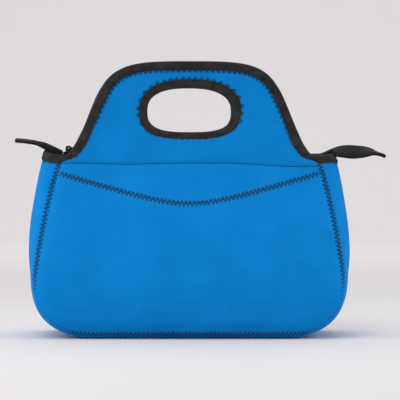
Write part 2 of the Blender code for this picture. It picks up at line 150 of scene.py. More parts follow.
class Path:
    """A polyline that can be read at any length along it."""

    def __init__(self, points: Sequence[Sequence[float]]) -> None:
        """Keeps the points and their lengths along the path."""
        self.points = np.array(points, float)
        steps = np.linalg.norm(np.diff(self.points, axis=0), axis=1)
        self.lengths = np.concatenate([[0.0], np.cumsum(steps)])

    @property
    def total(self) -> float:
        """Length of the whole path."""
        return float(self.lengths[-1])

    @classmethod
    def round_loop(cls, loop: np.ndarray) -> "Path":
        """Path once round a closed loop of points."""
        return cls(np.vstack([loop, loop[:1]]))

    def at(self, length: np.ndarray | float) -> np.ndarray:
        """Points at the given lengths."""
        axes = range(self.points.shape[1])
        return np.stack([np.interp(length, self.lengths, self.points[:, k]) for k in axes], axis=-1)

    def along(self, length: np.ndarray | float, step: float = 1.5) -> np.ndarray:
        """Unit directions of travel at the given lengths."""
        length = np.asarray(length, float)
        return unit(self.at(length + step) - self.at(length - step) + 1e-12)

    def even(self, spacing: float) -> np.ndarray:
        """Lengths that part the path into equal steps of about the given spacing."""
        return np.linspace(0.0, self.total, max(int(round(self.total / spacing)), 2) + 1)

    @classmethod
    def smooth(cls, points: Sequence[Sequence[float]], per_span: int = 12) -> "Path":
        """Path of a Catmull-Rom curve through the points."""
        p = [np.array(q, float) for q in points]
        ends = [2 * p[0] - p[1], *p, 2 * p[-1] - p[-2]]
        made = []
        for a, b, c, d in zip(ends, ends[1:], ends[2:], ends[3:]):
            for t in np.arange(per_span) / per_span:
                made.append(
                    0.5 * (2 * b + (c - a) * t + (2 * a - 5 * b + 4 * c - d) * t**2
                           + (3 * b - a - 3 * c + d) * t**3)
                )
        return cls([*made, p[-1]])


def flat_tree(points: np.ndarray) -> kdtree.KDTree:
    """Look-up of the nearest of some flat points."""
    tree = kdtree.KDTree(len(points))
    for index, (x, z) in enumerate(points):
        tree.insert((x, z, 0.0), index)
    tree.balance()
    return tree


# Shape of the bag ------------------------------------------------------------------------------


@dataclass(frozen=True)
class ToteForm:
    """Sizes and surfaces of the sewn bag that every sub-assembly works from."""

    core: tuple[float, float, float] = (0.0, 0.0, 90.0)
    cloth: float = 3.5
    seam_bottom_z: float = 4.0
    corner_x: float = 99.5
    corner_reach: tuple[float, float] = (56.0, 50.0)
    corner_power: float = 2.2
    mouth_half_width: float = 132.0
    fold_z: float = 178.0
    corner_top_z: float = 184.9
    side_handles: tuple[tuple[float, float], ...] = ((152.5, 88.0), (142.0, 152.0))
    bottom_half_depth: float = 68.0
    neck_half_depth: float = 17.0
    panel_bulge: float = 9.0
    gusset_bulge: tuple[float, float, float] = (3.6, 12.9, 3.3)
    seam_roll: float = 7.5
    seam_inset: float = 1.6
    seam_flare: float = 3.4
    flare_depth: float = 3.8
    under_pocket: float = 0.9
    handle_top_depth: float = 5.5
    handle_lean_height: float = 72.0
    pocket_mouth_z: float = 176.4
    pocket_lay: float = 3.9
    pocket_seam: tuple[float, float, float] = (134.8, 0.31, 12.0)
    wander_depth: float = 0.55
    upright_from: float = 176.5
    corner_slim: float = 0.3
    end_lifts: tuple[float, float] = (5.2, 1.4)

    @cached_property
    def seam(self) -> Path:
        """Right half of a panel's seam, (x, z), from the middle of the bottom to the mouth corner."""
        reach_x, reach_z = self.corner_reach
        centre_z = self.seam_bottom_z + reach_z
        points = [np.array((x, self.seam_bottom_z)) for x in np.linspace(0, self.corner_x, 60)[:-1]]
        for angle in np.linspace(math.pi / 2, 0.0, 60):
            across = abs(math.cos(angle)) ** (2 / self.corner_power)
            down = abs(math.sin(angle)) ** (2 / self.corner_power)
            points.append(
                np.array((self.corner_x + reach_x * across, centre_z - reach_z * down))
            )
        start, end = points[-1], np.array((self.mouth_half_width, self.fold_z))
        first, second = (np.array(p) for p in self.side_handles)
        for t in np.linspace(0.0, 1.0, 60)[1:]:
            points.append(
                (1 - t) ** 3 * start + 3 * t * (1 - t) ** 2 * first
                + 3 * t * t * (1 - t) * second + t**3 * end
            )
        return Path(points)

    @cached_property
    def side(self) -> np.ndarray:
        """(x, z) points of the seam from the bottom corner up, with z always rising."""
        keep = self.seam.points[:, 0] >= self.corner_x - 1e-6
        return self.seam.points[keep]

    def half_width(self, z: np.ndarray | float) -> np.ndarray:
        """Half the distance between a panel's side seams at height z."""
        return np.interp(z, self.side[:, 1], self.side[:, 0])

    def climb(self, z: np.ndarray | float) -> np.ndarray:
        """Share of the way from the bottom seam to the fold line."""
        return np.clip((z - self.seam_bottom_z) / (self.fold_z - self.seam_bottom_z), 0.0, 1.0)

    def seam_depth(self, z: np.ndarray | float) -> np.ndarray:
        """Distance of the side seams from the bag's middle plane."""
        t = self.climb(z)
        fall = 0.5 * t**2 + 0.5 * (3 * t**2 - 2 * t**3)
        return self.neck_half_depth + (self.bottom_half_depth - self.neck_half_depth) * (1 - fall)

    def handle_depth(self, z: np.ndarray | float) -> np.ndarray:
        """Distance of a handle's middle layer from the bag's middle plane."""
        at_fold = self.neck_half_depth - self.cloth / 2
        left = np.clip(1 - (z - self.fold_z) / self.handle_lean_height, 0.0, 1.0)
        return self.handle_top_depth + (at_fold - self.handle_top_depth) * left**2

    @cached_property
    def edge_tree(self) -> kdtree.KDTree:
        """Look-up of the distance to the side and bottom seams, both hands."""
        top = Path([(self.mouth_half_width, self.fold_z), (self.mouth_half_width, self.corner_top_z)])
        half = np.vstack([self.seam.at(self.seam.even(0.7)), top.at(top.even(0.7))])
        return flat_tree(np.vstack([half, half * (-1, 1)]))

    def seam_distance(self, x: np.ndarray, z: np.ndarray) -> np.ndarray:
        """Distance in the face's plane from the nearest seam round the panel."""
        return np.array([self.edge_tree.find((a, b, 0.0))[2] for a, b in zip(x, z)])

    def skin(self, x: np.ndarray, z: np.ndarray, side: Side, lay: float = 0.0) -> np.ndarray:
        """Outer face of the panel and handle, or of the pocket where lay is its height over them.

        Args:
            x: places across.
            z: heights.
            side: front or back.
            lay: height of this layer's outer face over the panel's own.

        Returns:
            (N, 3) points.
        """
        x, z = np.atleast_1d(np.asarray(x, float)), np.atleast_1d(np.asarray(z, float))
        t = self.climb(z)
        across = np.clip(np.abs(x) / self.half_width(z), 0.0, 1.0)
        bulge = self.panel_bulge * np.sin(math.pi * t**0.8) * (1 - across**2.5)
        panel = self.seam_depth(z) + bulge
        depth = np.where(z < self.fold_z, panel, self.handle_depth(z) + self.cloth / 2)
        away = self.seam_distance(x, z)
        raised = lay * (0.25 + 0.75 * ease(0.0, 14.0, away))
        rim = np.clip(1 - away / self.seam_roll, 0.0, 1.0)
        drop = (self.seam_inset + lay * 0.25) * rim**2
        if side is Side.FRONT and lay == 0.0:
            drop = drop + self.under_pocket * ease(4.0, 18.0, self.pocket_mouth_z - z)
        places = np.stack([x, np.full_like(x, 400.0 * side.value), z], axis=-1)
        swell = wander(places, 62.0, 1.0) + 0.4 * wander(places, 24.0, 2.0)
        free = ease(2.0, 26.0, away) * (1 - 0.6 * ease(self.fold_z - 20, self.fold_z + 10, z))
        depth = depth + raised - drop + self.wander_depth * swell * free
        return np.stack([x, side.value * depth, z], axis=-1)

    def pocket_seam_z(self, x: np.ndarray | float) -> np.ndarray:
        """Height of the curved seam across the pocket."""
        low, slope, roundness = self.pocket_seam
        return low + np.hypot(slope * np.asarray(x, float), roundness) - roundness

    def mouth_z(self, x: np.ndarray | float) -> np.ndarray:
        """Height of the pocket's free edge, which wavers a little."""
        x = np.asarray(x, float)
        dip = 1.2 * np.exp(-(((x + 62.0) / 30.0) ** 2))
        return self.pocket_mouth_z - dip - 3.6 * ease(36.0, 110.0, x) + 0.7 * ease(117.0, 132.0, x)

    def gusset_section(self, length: float, hand: Hand, count: int = 160) -> np.ndarray:
        """Outer face of the gusset strip across the bag, from its front seam to its middle.

        Args:
            length: place along the seam from the middle of the bottom; more than the seam's
                own length is the upright end inside the binding.
            hand: left or right.
            count: number of points.

        Returns:
            (count, 3) points with y negative, from the seam at the first to y = 0 at the last.
        """
        over = max(length - self.seam.total, 0.0)
        length = min(length, self.seam.total)
        x, z = self.seam.at(length)
        tx, tz = self.seam.along(length, 3.0)
        nx, nz = tz, -tx
        upright = float(ease(140.0, self.upright_from, z)) if x > self.corner_x else 0.0
        base, side, neck = self.gusset_bulge
        bulge = base + side * float(ease(0.0, 125.0, z)) + neck * max((z - 105) / 73, 0.0) ** 2
        t = np.sin(np.linspace(math.pi / 2, 0.0, count))
        flatness = 2 + 5 * (1 - float(ease(4.0, 64.0, z)))
        roundness = 1.0 - 0.5 * float(ease(105.0, self.upright_from, z))
        depth = float(self.seam_depth(z)) - self.seam_inset
        near = np.clip(1 - (1 - t) * depth / self.flare_depth, 0.0, 1.0)
        past_corner = x > self.corner_x
        corner = float(ease(4.2, 8.5, z) * (1 - ease(36.0, 82.0, z))) if past_corner else 0.0
        lip = self.seam_flare * (1 - 0.9 * corner)
        above = float(ease(8.0, 38.0, z) * (1 - ease(48.0, 84.0, z))) if past_corner else 0.0
        swell = (bulge - lip) * (1 - self.corner_slim * above)
        out = swell * np.clip(1 - t**flatness, 0.0, 1.0) ** roundness + lip * np.sqrt(1 - near**2)
        out = out * (1 - 0.15 * over / (self.corner_top_z - self.fold_z))
        rise = over / (self.corner_top_z - self.fold_z) * (self.gusset_top_z(t, hand) - self.fold_z)
        return np.stack(
            [
                hand.value * (x + (nx + (1 - nx) * upright) * out),
                -t * depth,
                z + nz * (1 - upright) * out + rise,
            ],
            axis=-1,
        )

    def gusset_top_z(self, t: np.ndarray | float, hand: Hand) -> np.ndarray:
        """Height of the gusset's bound edge; its middle is pulled up by the zip's end."""
        lift = self.end_lifts[hand is Hand.RIGHT]
        return self.corner_top_z + lift * (1 - np.asarray(t, float) ** 2) ** 1.3

    def gusset_point(self, length: float, hand: Hand, reach: float, side: Side) -> np.ndarray:
        """Point on the gusset's outer face at a distance round from its seam."""
        section = Path(self.gusset_section(length, hand))
        return section.at(reach) * (1, -side.value, 1)


FORM = ToteForm()


# Mesh tools ------------------------------------------------------------------------------------


@dataclass
class MeshStock:
    """Vertices in millimetres, faces and weave coordinates that gather into one mesh."""

    points: list[np.ndarray] = field(default_factory=list)
    faces: list[tuple[int, ...]] = field(default_factory=list)
    weave: list[np.ndarray] = field(default_factory=list)
    count: int = 0

    def add(self, points: np.ndarray, faces: Sequence[Sequence[int]], weave: np.ndarray | None = None) -> None:
        """Adds a part.

        Args:
            points: (N, 3) places.
            faces: corner indices that count from this part's first point.
            weave: (N, 2) places on the flat cloth, and as a third the share of the dark mouth line (foam edge and
                painted shade), or None.
        """
        base = self.count
        self.points.append(np.asarray(points, float))
        self.faces.extend(tuple(int(i) + base for i in face) for face in faces)
        flat = np.zeros((len(points), 3))
        if weave is not None:
            flat[:, : weave.shape[1]] = weave
        self.weave.append(flat)
        self.count += len(points)

    def build(self, name: str, finish: bpy.types.Material, sharp: float = 50.0) -> bpy.types.Object:
        """Makes the object.

        Args:
            name: name of the piece.
            finish: its material.
            sharp: faces that meet at more than this many degrees stay crisp.

        Returns:
            The object, linked to the scene.
        """
        mesh = bpy.data.meshes.new(name)
        mesh.from_pydata((np.vstack(self.points) * MM).tolist(), [], self.faces)
        flat = np.vstack(self.weave)
        stored = mesh.attributes.new("weave", "FLOAT_VECTOR", "POINT")
        stored.data.foreach_set("vector", flat.ravel())
        mesh.validate()
        turned = bmesh.new()
        turned.from_mesh(mesh)
        bmesh.ops.recalc_face_normals(turned, faces=turned.faces)
        turned.to_mesh(mesh)
        turned.free()
        mesh.shade_smooth()
        mesh.set_sharp_from_angle(angle=math.radians(sharp))
        mesh.materials.append(finish)
        made = bpy.data.objects.new(name, mesh)
        bpy.context.scene.collection.objects.link(made)
        return made


def face_normals(points: np.ndarray, faces: Sequence[Sequence[int]]) -> np.ndarray:
    """Unit normals at the points of an open surface, weighted by area."""
    total = np.zeros_like(points)
    for size in (3, 4):
        these = np.array([f for f in faces if len(f) == size], int)
        if not len(these):
            continue
        a, b, c = points[these[:, 0]], points[these[:, 1]], points[these[:, 2]]
        across = np.cross(b - a, c - a)
        if size == 4:
            d = points[these[:, 3]]
            across = np.cross(c - a, d - b)
        for corner in range(size):
            np.add.at(total, these[:, corner], across)
    return unit(total)


def rim_of(faces: Sequence[Sequence[int]]) -> list[tuple[int, int]]:
    """Directed edges that only one face uses."""
    seen = {}
    for face in faces:
        for a, b in zip(face, [*face[1:], face[0]]):
            seen[(a, b)] = seen.get((a, b), 0) + 1
    return [edge for edge in seen if (edge[1], edge[0]) not in seen]


def thick_cloth(
    points: np.ndarray,
    faces: Sequence[Sequence[int]],
    thickness: np.ndarray | float,
    weave: np.ndarray,
) -> MeshStock:
    """Closed sheet whose outer face is the given surface.

    Args:
        points: (N, 3) outer face.
        faces: its faces, wound so that their normals point out of the bag.
        thickness: thickness at each point, or one for all.
        weave: (N, 2) places on the flat cloth.

    Returns:
        The closed sheet.
    """
    normals = face_normals(points, faces)
    thickness = np.broadcast_to(np.asarray(thickness, float), (len(points),))
    inner = points - normals * thickness[:, None]
    n = len(points)
    solid = [tuple(f) for f in faces] + [tuple(n + i for i in reversed(f)) for f in faces]
    solid += [(b, a, a + n, b + n) for a, b in rim_of(faces)]
    stock = MeshStock()
    stock.add(np.vstack([points, inner]), solid, np.vstack([weave, weave]))
    return stock


def grid_faces(rows: int, columns: int, flip: bool = False, wrap: bool = False) -> list[tuple[int, ...]]:
    """Quads of a rows by columns grid of points; wrap joins the last column to the first."""
    faces = []
    for i in range(rows - 1):
        for j in range(columns if wrap else columns - 1):
            k = (j + 1) % columns
            quad = (i * columns + j, i * columns + k, (i + 1) * columns + k, (i + 1) * columns + j)
            faces.append(quad[::-1] if flip else quad)
    return faces


def rounded_edge(distance: np.ndarray, radius: float, least: float) -> np.ndarray:
    """Share of the full thickness at a distance in from a rounded edge."""
    rim = np.clip(1 - distance / radius, 0.0, 1.0)
    return least + (1 - least) * np.sqrt(1 - rim**2)


def sweep(
    section: np.ndarray, places: np.ndarray, first: np.ndarray, second: np.ndarray, closed: bool
) -> tuple[np.ndarray, list[tuple[int, ...]]]:
    """Carries a closed section along a path.

    Args:
        section: (M, 2) or (N, M, 2) section, measured along first and second.
        places: (N, 3) path.
        first: (N, 3) directions of the section's first coordinate.
        second: (N, 3) directions of the section's second coordinate.
        closed: whether the path runs back into its start.

    Returns:
        Points and faces.
    """
    section = np.broadcast_to(section, (len(places), *section.shape[-2:]))
    points = (
        places[:, None, :]
        + section[..., 0:1] * first[:, None, :]
        + section[..., 1:2] * second[:, None, :]
    )
    n, m = points.shape[:2]
    faces = grid_faces(n, m, wrap=True)
    if closed:
        faces += [((n - 1) * m + j, (n - 1) * m + (j + 1) % m, (j + 1) % m, j) for j in range(m)]
    else:
        faces += [tuple(range(m))[::-1], tuple((n - 1) * m + j for j in range(m))]
    return points.reshape(-1, 3), faces


def tube(path: np.ndarray, radius: np.ndarray | float, sides: int = 6, closed: bool = False) -> tuple:
    """Round tube along a path, without twist.

    Args:
        path: (N, 3) middle line.
        radius: radius, or one for each point.
        sides: number of sides.
        closed: whether the path runs back into its start.

    Returns:
        Points and faces.
    """
    after = np.roll(path, -1, axis=0) if closed else np.vstack([path[1:], 2 * path[-1] - path[-2]])
    before = np.roll(path, 1, axis=0) if closed else np.vstack([2 * path[0] - path[1], path[:-1]])
    along = unit(after - before)
    normal = np.zeros_like(path)
    guide = np.array((0.0, 0.0, 1.0)) if abs(along[0][2]) < 0.9 else np.array((1.0, 0.0, 0.0))
    for i, t in enumerate(along):
        guide = guide - t * (guide @ t)
        guide = guide / max(np.linalg.norm(guide), 1e-9)
        normal[i] = guide
    other = np.cross(along, normal)
    angles = np.arange(sides) / sides * 2 * math.pi
    ring = np.stack([np.cos(angles), np.sin(angles)], axis=-1)
    radius = np.broadcast_to(np.asarray(radius, float), (len(path),))
    return sweep(ring[None] * radius[:, None, None], path, normal, other, closed)


@dataclass(frozen=True)
class FlatCut:
    """A cut of cloth in the face's plane: a smooth outline, filled with even triangles."""

    outline: np.ndarray
    holes: tuple[np.ndarray, ...] = ()
    spacing: float = 3.0
    bands: tuple[float, ...] = (0.3, 0.8, 1.6, 2.8, 4.6, 7.0)

    @cached_property
    def rims(self) -> list[np.ndarray]:
        """Outline and holes as even loops of points."""
        loops = []
        for loop in (self.outline, *self.holes):
            path = Path.round_loop(loop)
            loops.append(path.at(path.even(1.8))[:-1])
        return loops

    @cached_property
    def rim_tree(self) -> kdtree.KDTree:
        """Look-up of the distance to the nearest edge."""
        fine = []
        for loop in (self.outline, *self.holes):
            path = Path.round_loop(loop)
            fine.append(path.at(path.even(0.4))[:-1])
        return flat_tree(np.vstack(fine))

    def edge_distance(self, points: np.ndarray) -> np.ndarray:
        """Distance from each point to the nearest edge."""
        return np.array([self.rim_tree.find((x, z, 0.0))[2] for x, z in points])

    def inside(self, points: np.ndarray) -> np.ndarray:
        """Whether each point lies in the cut and outside its holes."""
        odd = np.zeros(len(points), bool)
        for loop in self.rims:
            a, b = loop, np.roll(loop, -1, axis=0)
            for (x0, z0), (x1, z1) in zip(a, b):
                if z0 == z1:
                    continue
                crosses = (points[:, 1] >= min(z0, z1)) & (points[:, 1] < max(z0, z1))
                at = x0 + (points[:, 1] - z0) / (z1 - z0) * (x1 - x0)
                odd ^= crosses & (points[:, 0] < at)
        return odd

    def triangles(self) -> tuple[np.ndarray, list[tuple[int, ...]], np.ndarray]:
        """Fills the cut.

        Returns:
            (N, 2) points, faces that turn anticlockwise, and each point's distance to the edge.
        """
        stations, edges = [], []
        for loop in self.rims:
            base = sum(len(s) for s in stations)
            edges += [(base + i, base + (i + 1) % len(loop)) for i in range(len(loop))]
            stations.append(loop)
        for loop in self.rims:
            side = loop_sides(loop)
            for band in self.bands:
                for sign in (-1, 1):
                    ring = loop + sign * band * side
                    ring = ring[self.inside(ring)]
                    stations.append(ring[self.edge_distance(ring) > band - 0.08])
        low, high = self.outline.min(axis=0), self.outline.max(axis=0)
        step = self.spacing
        rows = np.arange(low[1], high[1], step * 0.866)
        fill = [
            (x, z)
            for k, z in enumerate(rows)
            for x in np.arange(low[0] + (k % 2) * step / 2, high[0], step)
        ]
        fill = np.array(fill)
        fill = fill[self.inside(fill)]
        stations.append(fill[self.edge_distance(fill) > self.bands[-1] + step * 0.6])
        points = np.vstack(stations)
        found = delaunay_2d_cdt([Vector(p) for p in points], edges, [], 0, 1e-4, False)
        places = np.array([tuple(v) for v in found[0]])
        faces = np.array([f for f in found[2] if len(f) == 3], int)
        a, b, c = places[faces[:, 0]], places[faces[:, 1]], places[faces[:, 2]]
        turn = (b - a)[:, 0] * (c - a)[:, 1] - (b - a)[:, 1] * (c - a)[:, 0]
        faces[turn < 0] = faces[turn < 0][:, ::-1]
        keep = self.inside((a + b + c) / 3) & (np.abs(turn) > 1e-4)
        used = np.unique(faces[keep])
        order = np.full(len(places), -1)
        order[used] = np.arange(len(used))
        kept = [tuple(order[f]) for f in faces[keep]]
        return places[used], kept, self.edge_distance(places[used])


# Finishes --------------------------------------------------------------------------------------


class Value:
    """A node's output that takes part in sums written in Python."""

    def __init__(self, graph: "Graph", socket: bpy.types.NodeSocket) -> None:
        """Keeps the socket and the graph that it belongs to."""
        self.graph, self.socket = graph, socket

    def _with(self, operation: str, *others: "Value | float") -> "Value":
        """Result of a Math node."""
        inputs = dict(enumerate((self, *others)))
        return self.graph.node("ShaderNodeMath", {"operation": operation}, inputs)

    def __add__(self, other: "Value | float") -> "Value":
        """Sum."""
        return self._with("ADD", other)

    __radd__ = __add__

    def __sub__(self, other: "Value | float") -> "Value":
        """Difference."""
        return self._with("SUBTRACT", other)

    def __rsub__(self, other: float) -> "Value":
        """A number less this value."""
        return self.graph.node("ShaderNodeMath", {"operation": "SUBTRACT"}, {0: other, 1: self})

    def __mul__(self, other: "Value | float") -> "Value":
        """Product."""
        return self._with("MULTIPLY", other)

    __rmul__ = __mul__

    def __truediv__(self, other: "Value | float") -> "Value":
        """Quotient."""
        return self._with("DIVIDE", other)

    def __abs__(self) -> "Value":
        """Size without sign."""
        return self._with("ABSOLUTE")

    def __mod__(self, other: float) -> "Value":
        """Remainder that is never negative."""
        return self._with("FLOORED_MODULO", other)

    def sine(self) -> "Value":
        """Sine of this value in radians."""
        return self._with("SINE")

    def power(self, exponent: float) -> "Value":
        """This value to a power."""
        return self._with("POWER", exponent)

    def ramp(self, low: float, high: float, to_low: float = 0.0, to_high: float = 1.0) -> "Value":
        """Maps low..high smoothly to to_low..to_high, held at the ends."""
        settings = {"interpolation_type": "SMOOTHSTEP"}
        inputs = {0: self, 1: low, 2: high, 3: to_low, 4: to_high}
        return self.graph.node("ShaderNodeMapRange", settings, inputs)


class Graph:
    """The nodes of one material."""

    def __init__(self, name: str) -> None:
        """Makes the material with its Principled shader."""
        self.material = bpy.data.materials.new(name)
        self.material.use_nodes = True
        self.tree = self.material.node_tree
        self.shader = self.tree.nodes["Principled BSDF"]

    def node(
        self, kind: str, settings: dict | None = None, inputs: dict | None = None, out: int | str = 0
    ) -> Value:
        """Adds a node.

        Args:
            kind: Blender's type name.
            settings: its properties, set before the sockets.
            inputs: socket name or index to a value or a link.
            out: name or index of the output that is returned.

        Returns:
            The chosen output.
        """
        made = self.tree.nodes.new(kind)
        for key, value in (settings or {}).items():
            setattr(made, key, value)
        for key, value in (inputs or {}).items():
            if isinstance(value, Value):
                self.tree.links.new(value.socket, made.inputs[key])
            else:
                made.inputs[key].default_value = value
        return Value(self, made.outputs[out])

    def noise(self, scale: float, detail: float = 3.0) -> Value:
        """Noise from 0 to 1, with scale in features per metre."""
        inputs = {"Vector": self.place(), "Scale": scale, "Detail": detail, "Roughness": 0.55}
        return self.node("ShaderNodeTexNoise", {"noise_dimensions": "3D"}, inputs)

    def place(self) -> Value:
        """Place on the object, in metres."""
        return self.node("ShaderNodeTexCoord", out="Object")

    def weave(self) -> tuple[Value, Value, Value]:
        """Place on the flat cloth across and along, in millimetres, and the share of the dark mouth line, partly foam
        edge and partly painted shade.
        """
        stored = self.node("ShaderNodeAttribute", {"attribute_name": "weave"}, out="Vector")
        parts = self.node("ShaderNodeSeparateXYZ", {}, {0: stored})
        outputs = parts.socket.node.outputs
        return parts, Value(self, outputs[1]), Value(self, outputs[2])

    def blend_colour(self, share: Value, low: Colour | Value, high: Colour | Value) -> Value:
        """Colour between two, by a share from 0 to 1."""
        settings = {"data_type": "RGBA", "clamp_factor": True}
        return self.node("ShaderNodeMix", settings, {0: share, 6: low, 7: high}, out=2)

    def bump(self, height: Value, strength: float, distance_mm: float) -> Value:
        """Normal that follows a height from 0 to 1."""
        inputs = {"Height": height, "Strength": strength, "Distance": distance_mm * MM}
        return self.node("ShaderNodeBump", {}, inputs)

    def dress(self, **sockets: Value | float | Colour) -> bpy.types.Material:
        """Sets the shader's sockets, named with underscores for spaces, and gives the material."""
        for key, value in sockets.items():
            socket = self.shader.inputs[key.replace("_", " ")]
            if isinstance(value, Value):
                self.tree.links.new(value.socket, socket)
            else:
                socket.default_value = value
        return self.material


@dataclass(frozen=True)
class Neoprene:
    """Blue nylon jersey laminated to neoprene foam."""

    light: Colour = linear(16, 139, 217)
    deep: Colour = linear(9, 115, 191)
    # Dark colour of the line along the pocket's mouth: partly the foam's cut edge, partly painted shade of the gap
    # under the lip.
    foam: Colour = linear(2, 34, 66)
    column_mm: float = 0.95
    course_mm: float = 0.72

    def material(self) -> bpy.types.Material:
        """The knit's fine V columns, their soft sheen, a faint mottle, and a dark line at the pocket's mouth that is
        partly foam edge and partly painted shade.
        """
        g = Graph("neoprene_jersey")
        across, along, foam_shade_line = g.weave()
        column = abs((across / self.column_mm) % 1.0 - 0.5)
        course = (along / self.course_mm + column * 0.9) * (2 * math.pi)
        loops = course.sine() * 0.5 + 0.5
        rib = 1.0 - (column * 2.0).power(3.0)
        knit = loops * 0.55 + rib * 0.45
        fuzz = g.noise(5200.0, 2.0)
        cloud = g.noise(26.0, 3.0)
        tone = knit * 0.42 + fuzz * 0.28 + cloud.ramp(0.3, 0.7) * 0.3
        height = knit * 0.8 + fuzz * 0.2
        jersey = g.blend_colour(tone, self.deep, self.light)
        return g.dress(
            # Painted shade: where the third weave value is set, the jersey turns to the dark mouth-line colour,
            # partly the foam's cut edge and partly the shade of the gap under the pocket's lip.
            Base_Color=g.blend_colour(foam_shade_line, jersey, self.foam),
            Roughness=0.74 + 0.12 * fuzz,
            Normal=g.bump(height, 0.42, 0.16),
            Specular_IOR_Level=0.1,
            Specular_Tint=(0.1, 0.5, 1.0, 1.0),
            Sheen_Weight=0.1,
            Sheen_Roughness=0.45,
            Sheen_Tint=(0.02, 0.4, 1.0, 1.0),
        )


@dataclass(frozen=True)
class WovenTape:
    """Black woven tape: bindings, tails and the zip's tape."""

    name: str
    dark: Colour
    pale: Colour
    rib_mm: float = 0.8
    roughness: float = 0.8
    depth_mm: float = 0.22

    def material(self) -> bpy.types.Material:
        """Crossed ribs with a dry, fuzzy surface."""
        g = Graph(self.name)
        across, along, _ = g.weave()
        turn = 2 * math.pi / self.rib_mm
        warp = (across * turn).sine() * 0.5 + 0.5
        weft = (along * turn + (across * (turn / 2)).sine() * 1.4).sine() * 0.5 + 0.5
        fuzz = g.noise(3800.0, 3.0)
        wear = g.noise(110.0, 3.0).ramp(0.36, 0.68)
        cloth = warp * 0.4 + weft * 0.4 + fuzz * 0.35
        tone = cloth * 0.45 + wear * 0.42
        return g.dress(
            Base_Color=g.blend_colour(tone, self.dark, self.pale),
            Roughness=self.roughness + 0.1 * fuzz,
            Normal=g.bump(cloth, 0.6, self.depth_mm),
            Specular_IOR_Level=0.2,
            Sheen_Weight=0.07,
            Sheen_Roughness=0.5,
        )


@dataclass(frozen=True)
class Thread:
    """Black twisted sewing thread."""

    colour: Colour = linear(12, 18, 28)

    def material(self) -> bpy.types.Material:
        """Dull thread with a little fuzz."""
        g = Graph("sewing_thread")
        fuzz = g.noise(6000.0, 2.0)
        return g.dress(
            Base_Color=g.blend_colour(fuzz, self.colour, linear(26, 34, 48)),
            Roughness=0.62 + 0.2 * fuzz,
            Normal=g.bump(fuzz, 0.5, 0.1),
            Specular_IOR_Level=0.35,
        )


@dataclass(frozen=True)
class Nylon:
    """Moulded black nylon of the zip's coils and stops."""

    def material(self) -> bpy.types.Material:
        """Smooth with a soft shine and faint flow marks."""
        g = Graph("black_nylon_coil")
        flow = g.noise(900.0, 2.0)
        return g.dress(
            Base_Color=g.blend_colour(flow, linear(20, 20, 22), linear(38, 38, 40)),
            Roughness=0.3 + 0.16 * flow,
            Normal=g.bump(flow, 0.15, 0.05),
            Specular_IOR_Level=0.5,
        )


@dataclass(frozen=True)
class EnamelMetal:
    """Black enamelled die casting of the slider and its pull."""

    def material(self) -> bpy.types.Material:
        """Enamel that is rubbed a little brighter in patches."""
        g = Graph("black_enamel_metal")
        orange_peel = g.noise(2200.0, 2.0)
        rubbed = g.noise(420.0, 4.0).ramp(0.56, 0.74)
        return g.dress(
            Base_Color=g.blend_colour(rubbed, linear(11, 11, 13), linear(44, 44, 46)),
            Roughness=0.48 + 0.18 * orange_peel + 0.1 * rubbed,
            Metallic=0.35 + 0.4 * rubbed,
            Normal=g.bump(orange_peel, 0.2, 0.04),
            Coat_Weight=0.08,
            Coat_Roughness=0.25,
        )


# Threads ---------------------------------------------------------------------------------------


@dataclass(frozen=True)
class Zigzag:
    """A flat zigzag seam: one thread that dives into the cloth at each needle hole."""

    pitch: float = 4.2
    radius: float = 0.27
    lift: float = 0.3
    dive: float = 0.9

    def stations(self, total: float) -> np.ndarray:
        """Lengths of the needle holes along a seam."""
        count = max(int(round(total / (self.pitch / 2))), 4)
        return np.linspace(0.0, total, count + 1)

    def thread(self, low: np.ndarray, high: np.ndarray, outward: np.ndarray) -> MeshStock:
        """Thread between two rows of needle holes.

        Args:
            low: (N, 3) places at every station on the first row.
            high: the same on the second row.
            outward: (N, 3) unit directions out of the cloth.

        Returns:
            The thread's mesh.
        """
        needle = np.where((np.arange(len(low)) % 2 == 0)[:, None], low, high)
        steps = ((0.0, -self.dive), (0.07, -0.12), (0.2, 0.22), (0.5, self.lift), (0.8, 0.22), (0.93, -0.12))
        path = []
        for a, b, na, nb in zip(needle, needle[1:], outward, outward[1:]):
            for share, height in steps:
                path.append(a + (b - a) * share + (na + (nb - na) * share) * height)
        stock = MeshStock()
        stock.add(*tube(np.array(path), self.radius, sides=6))
        return stock


# Body of the bag -------------------------------------------------------------------------------


@dataclass
class Assembly:
    """What every sub-assembly has: its finishes and a way to note its pieces."""

    neoprene: bpy.types.Material
    binding: bpy.types.Material
    thread: bpy.types.Material
    made: list[bpy.types.Object] = field(default_factory=list)

    def keep(self, piece: bpy.types.Object, slot: str) -> bpy.types.Object:
        """Notes a piece; its slot is not used."""
        self.made.append(piece)
        return piece

    def report(self) -> None:
        """Logs the pieces."""
        for piece in self.made:
            LOG.info("%s: %s with %d faces", type(self).__name__, piece.name, len(piece.data.polygons))


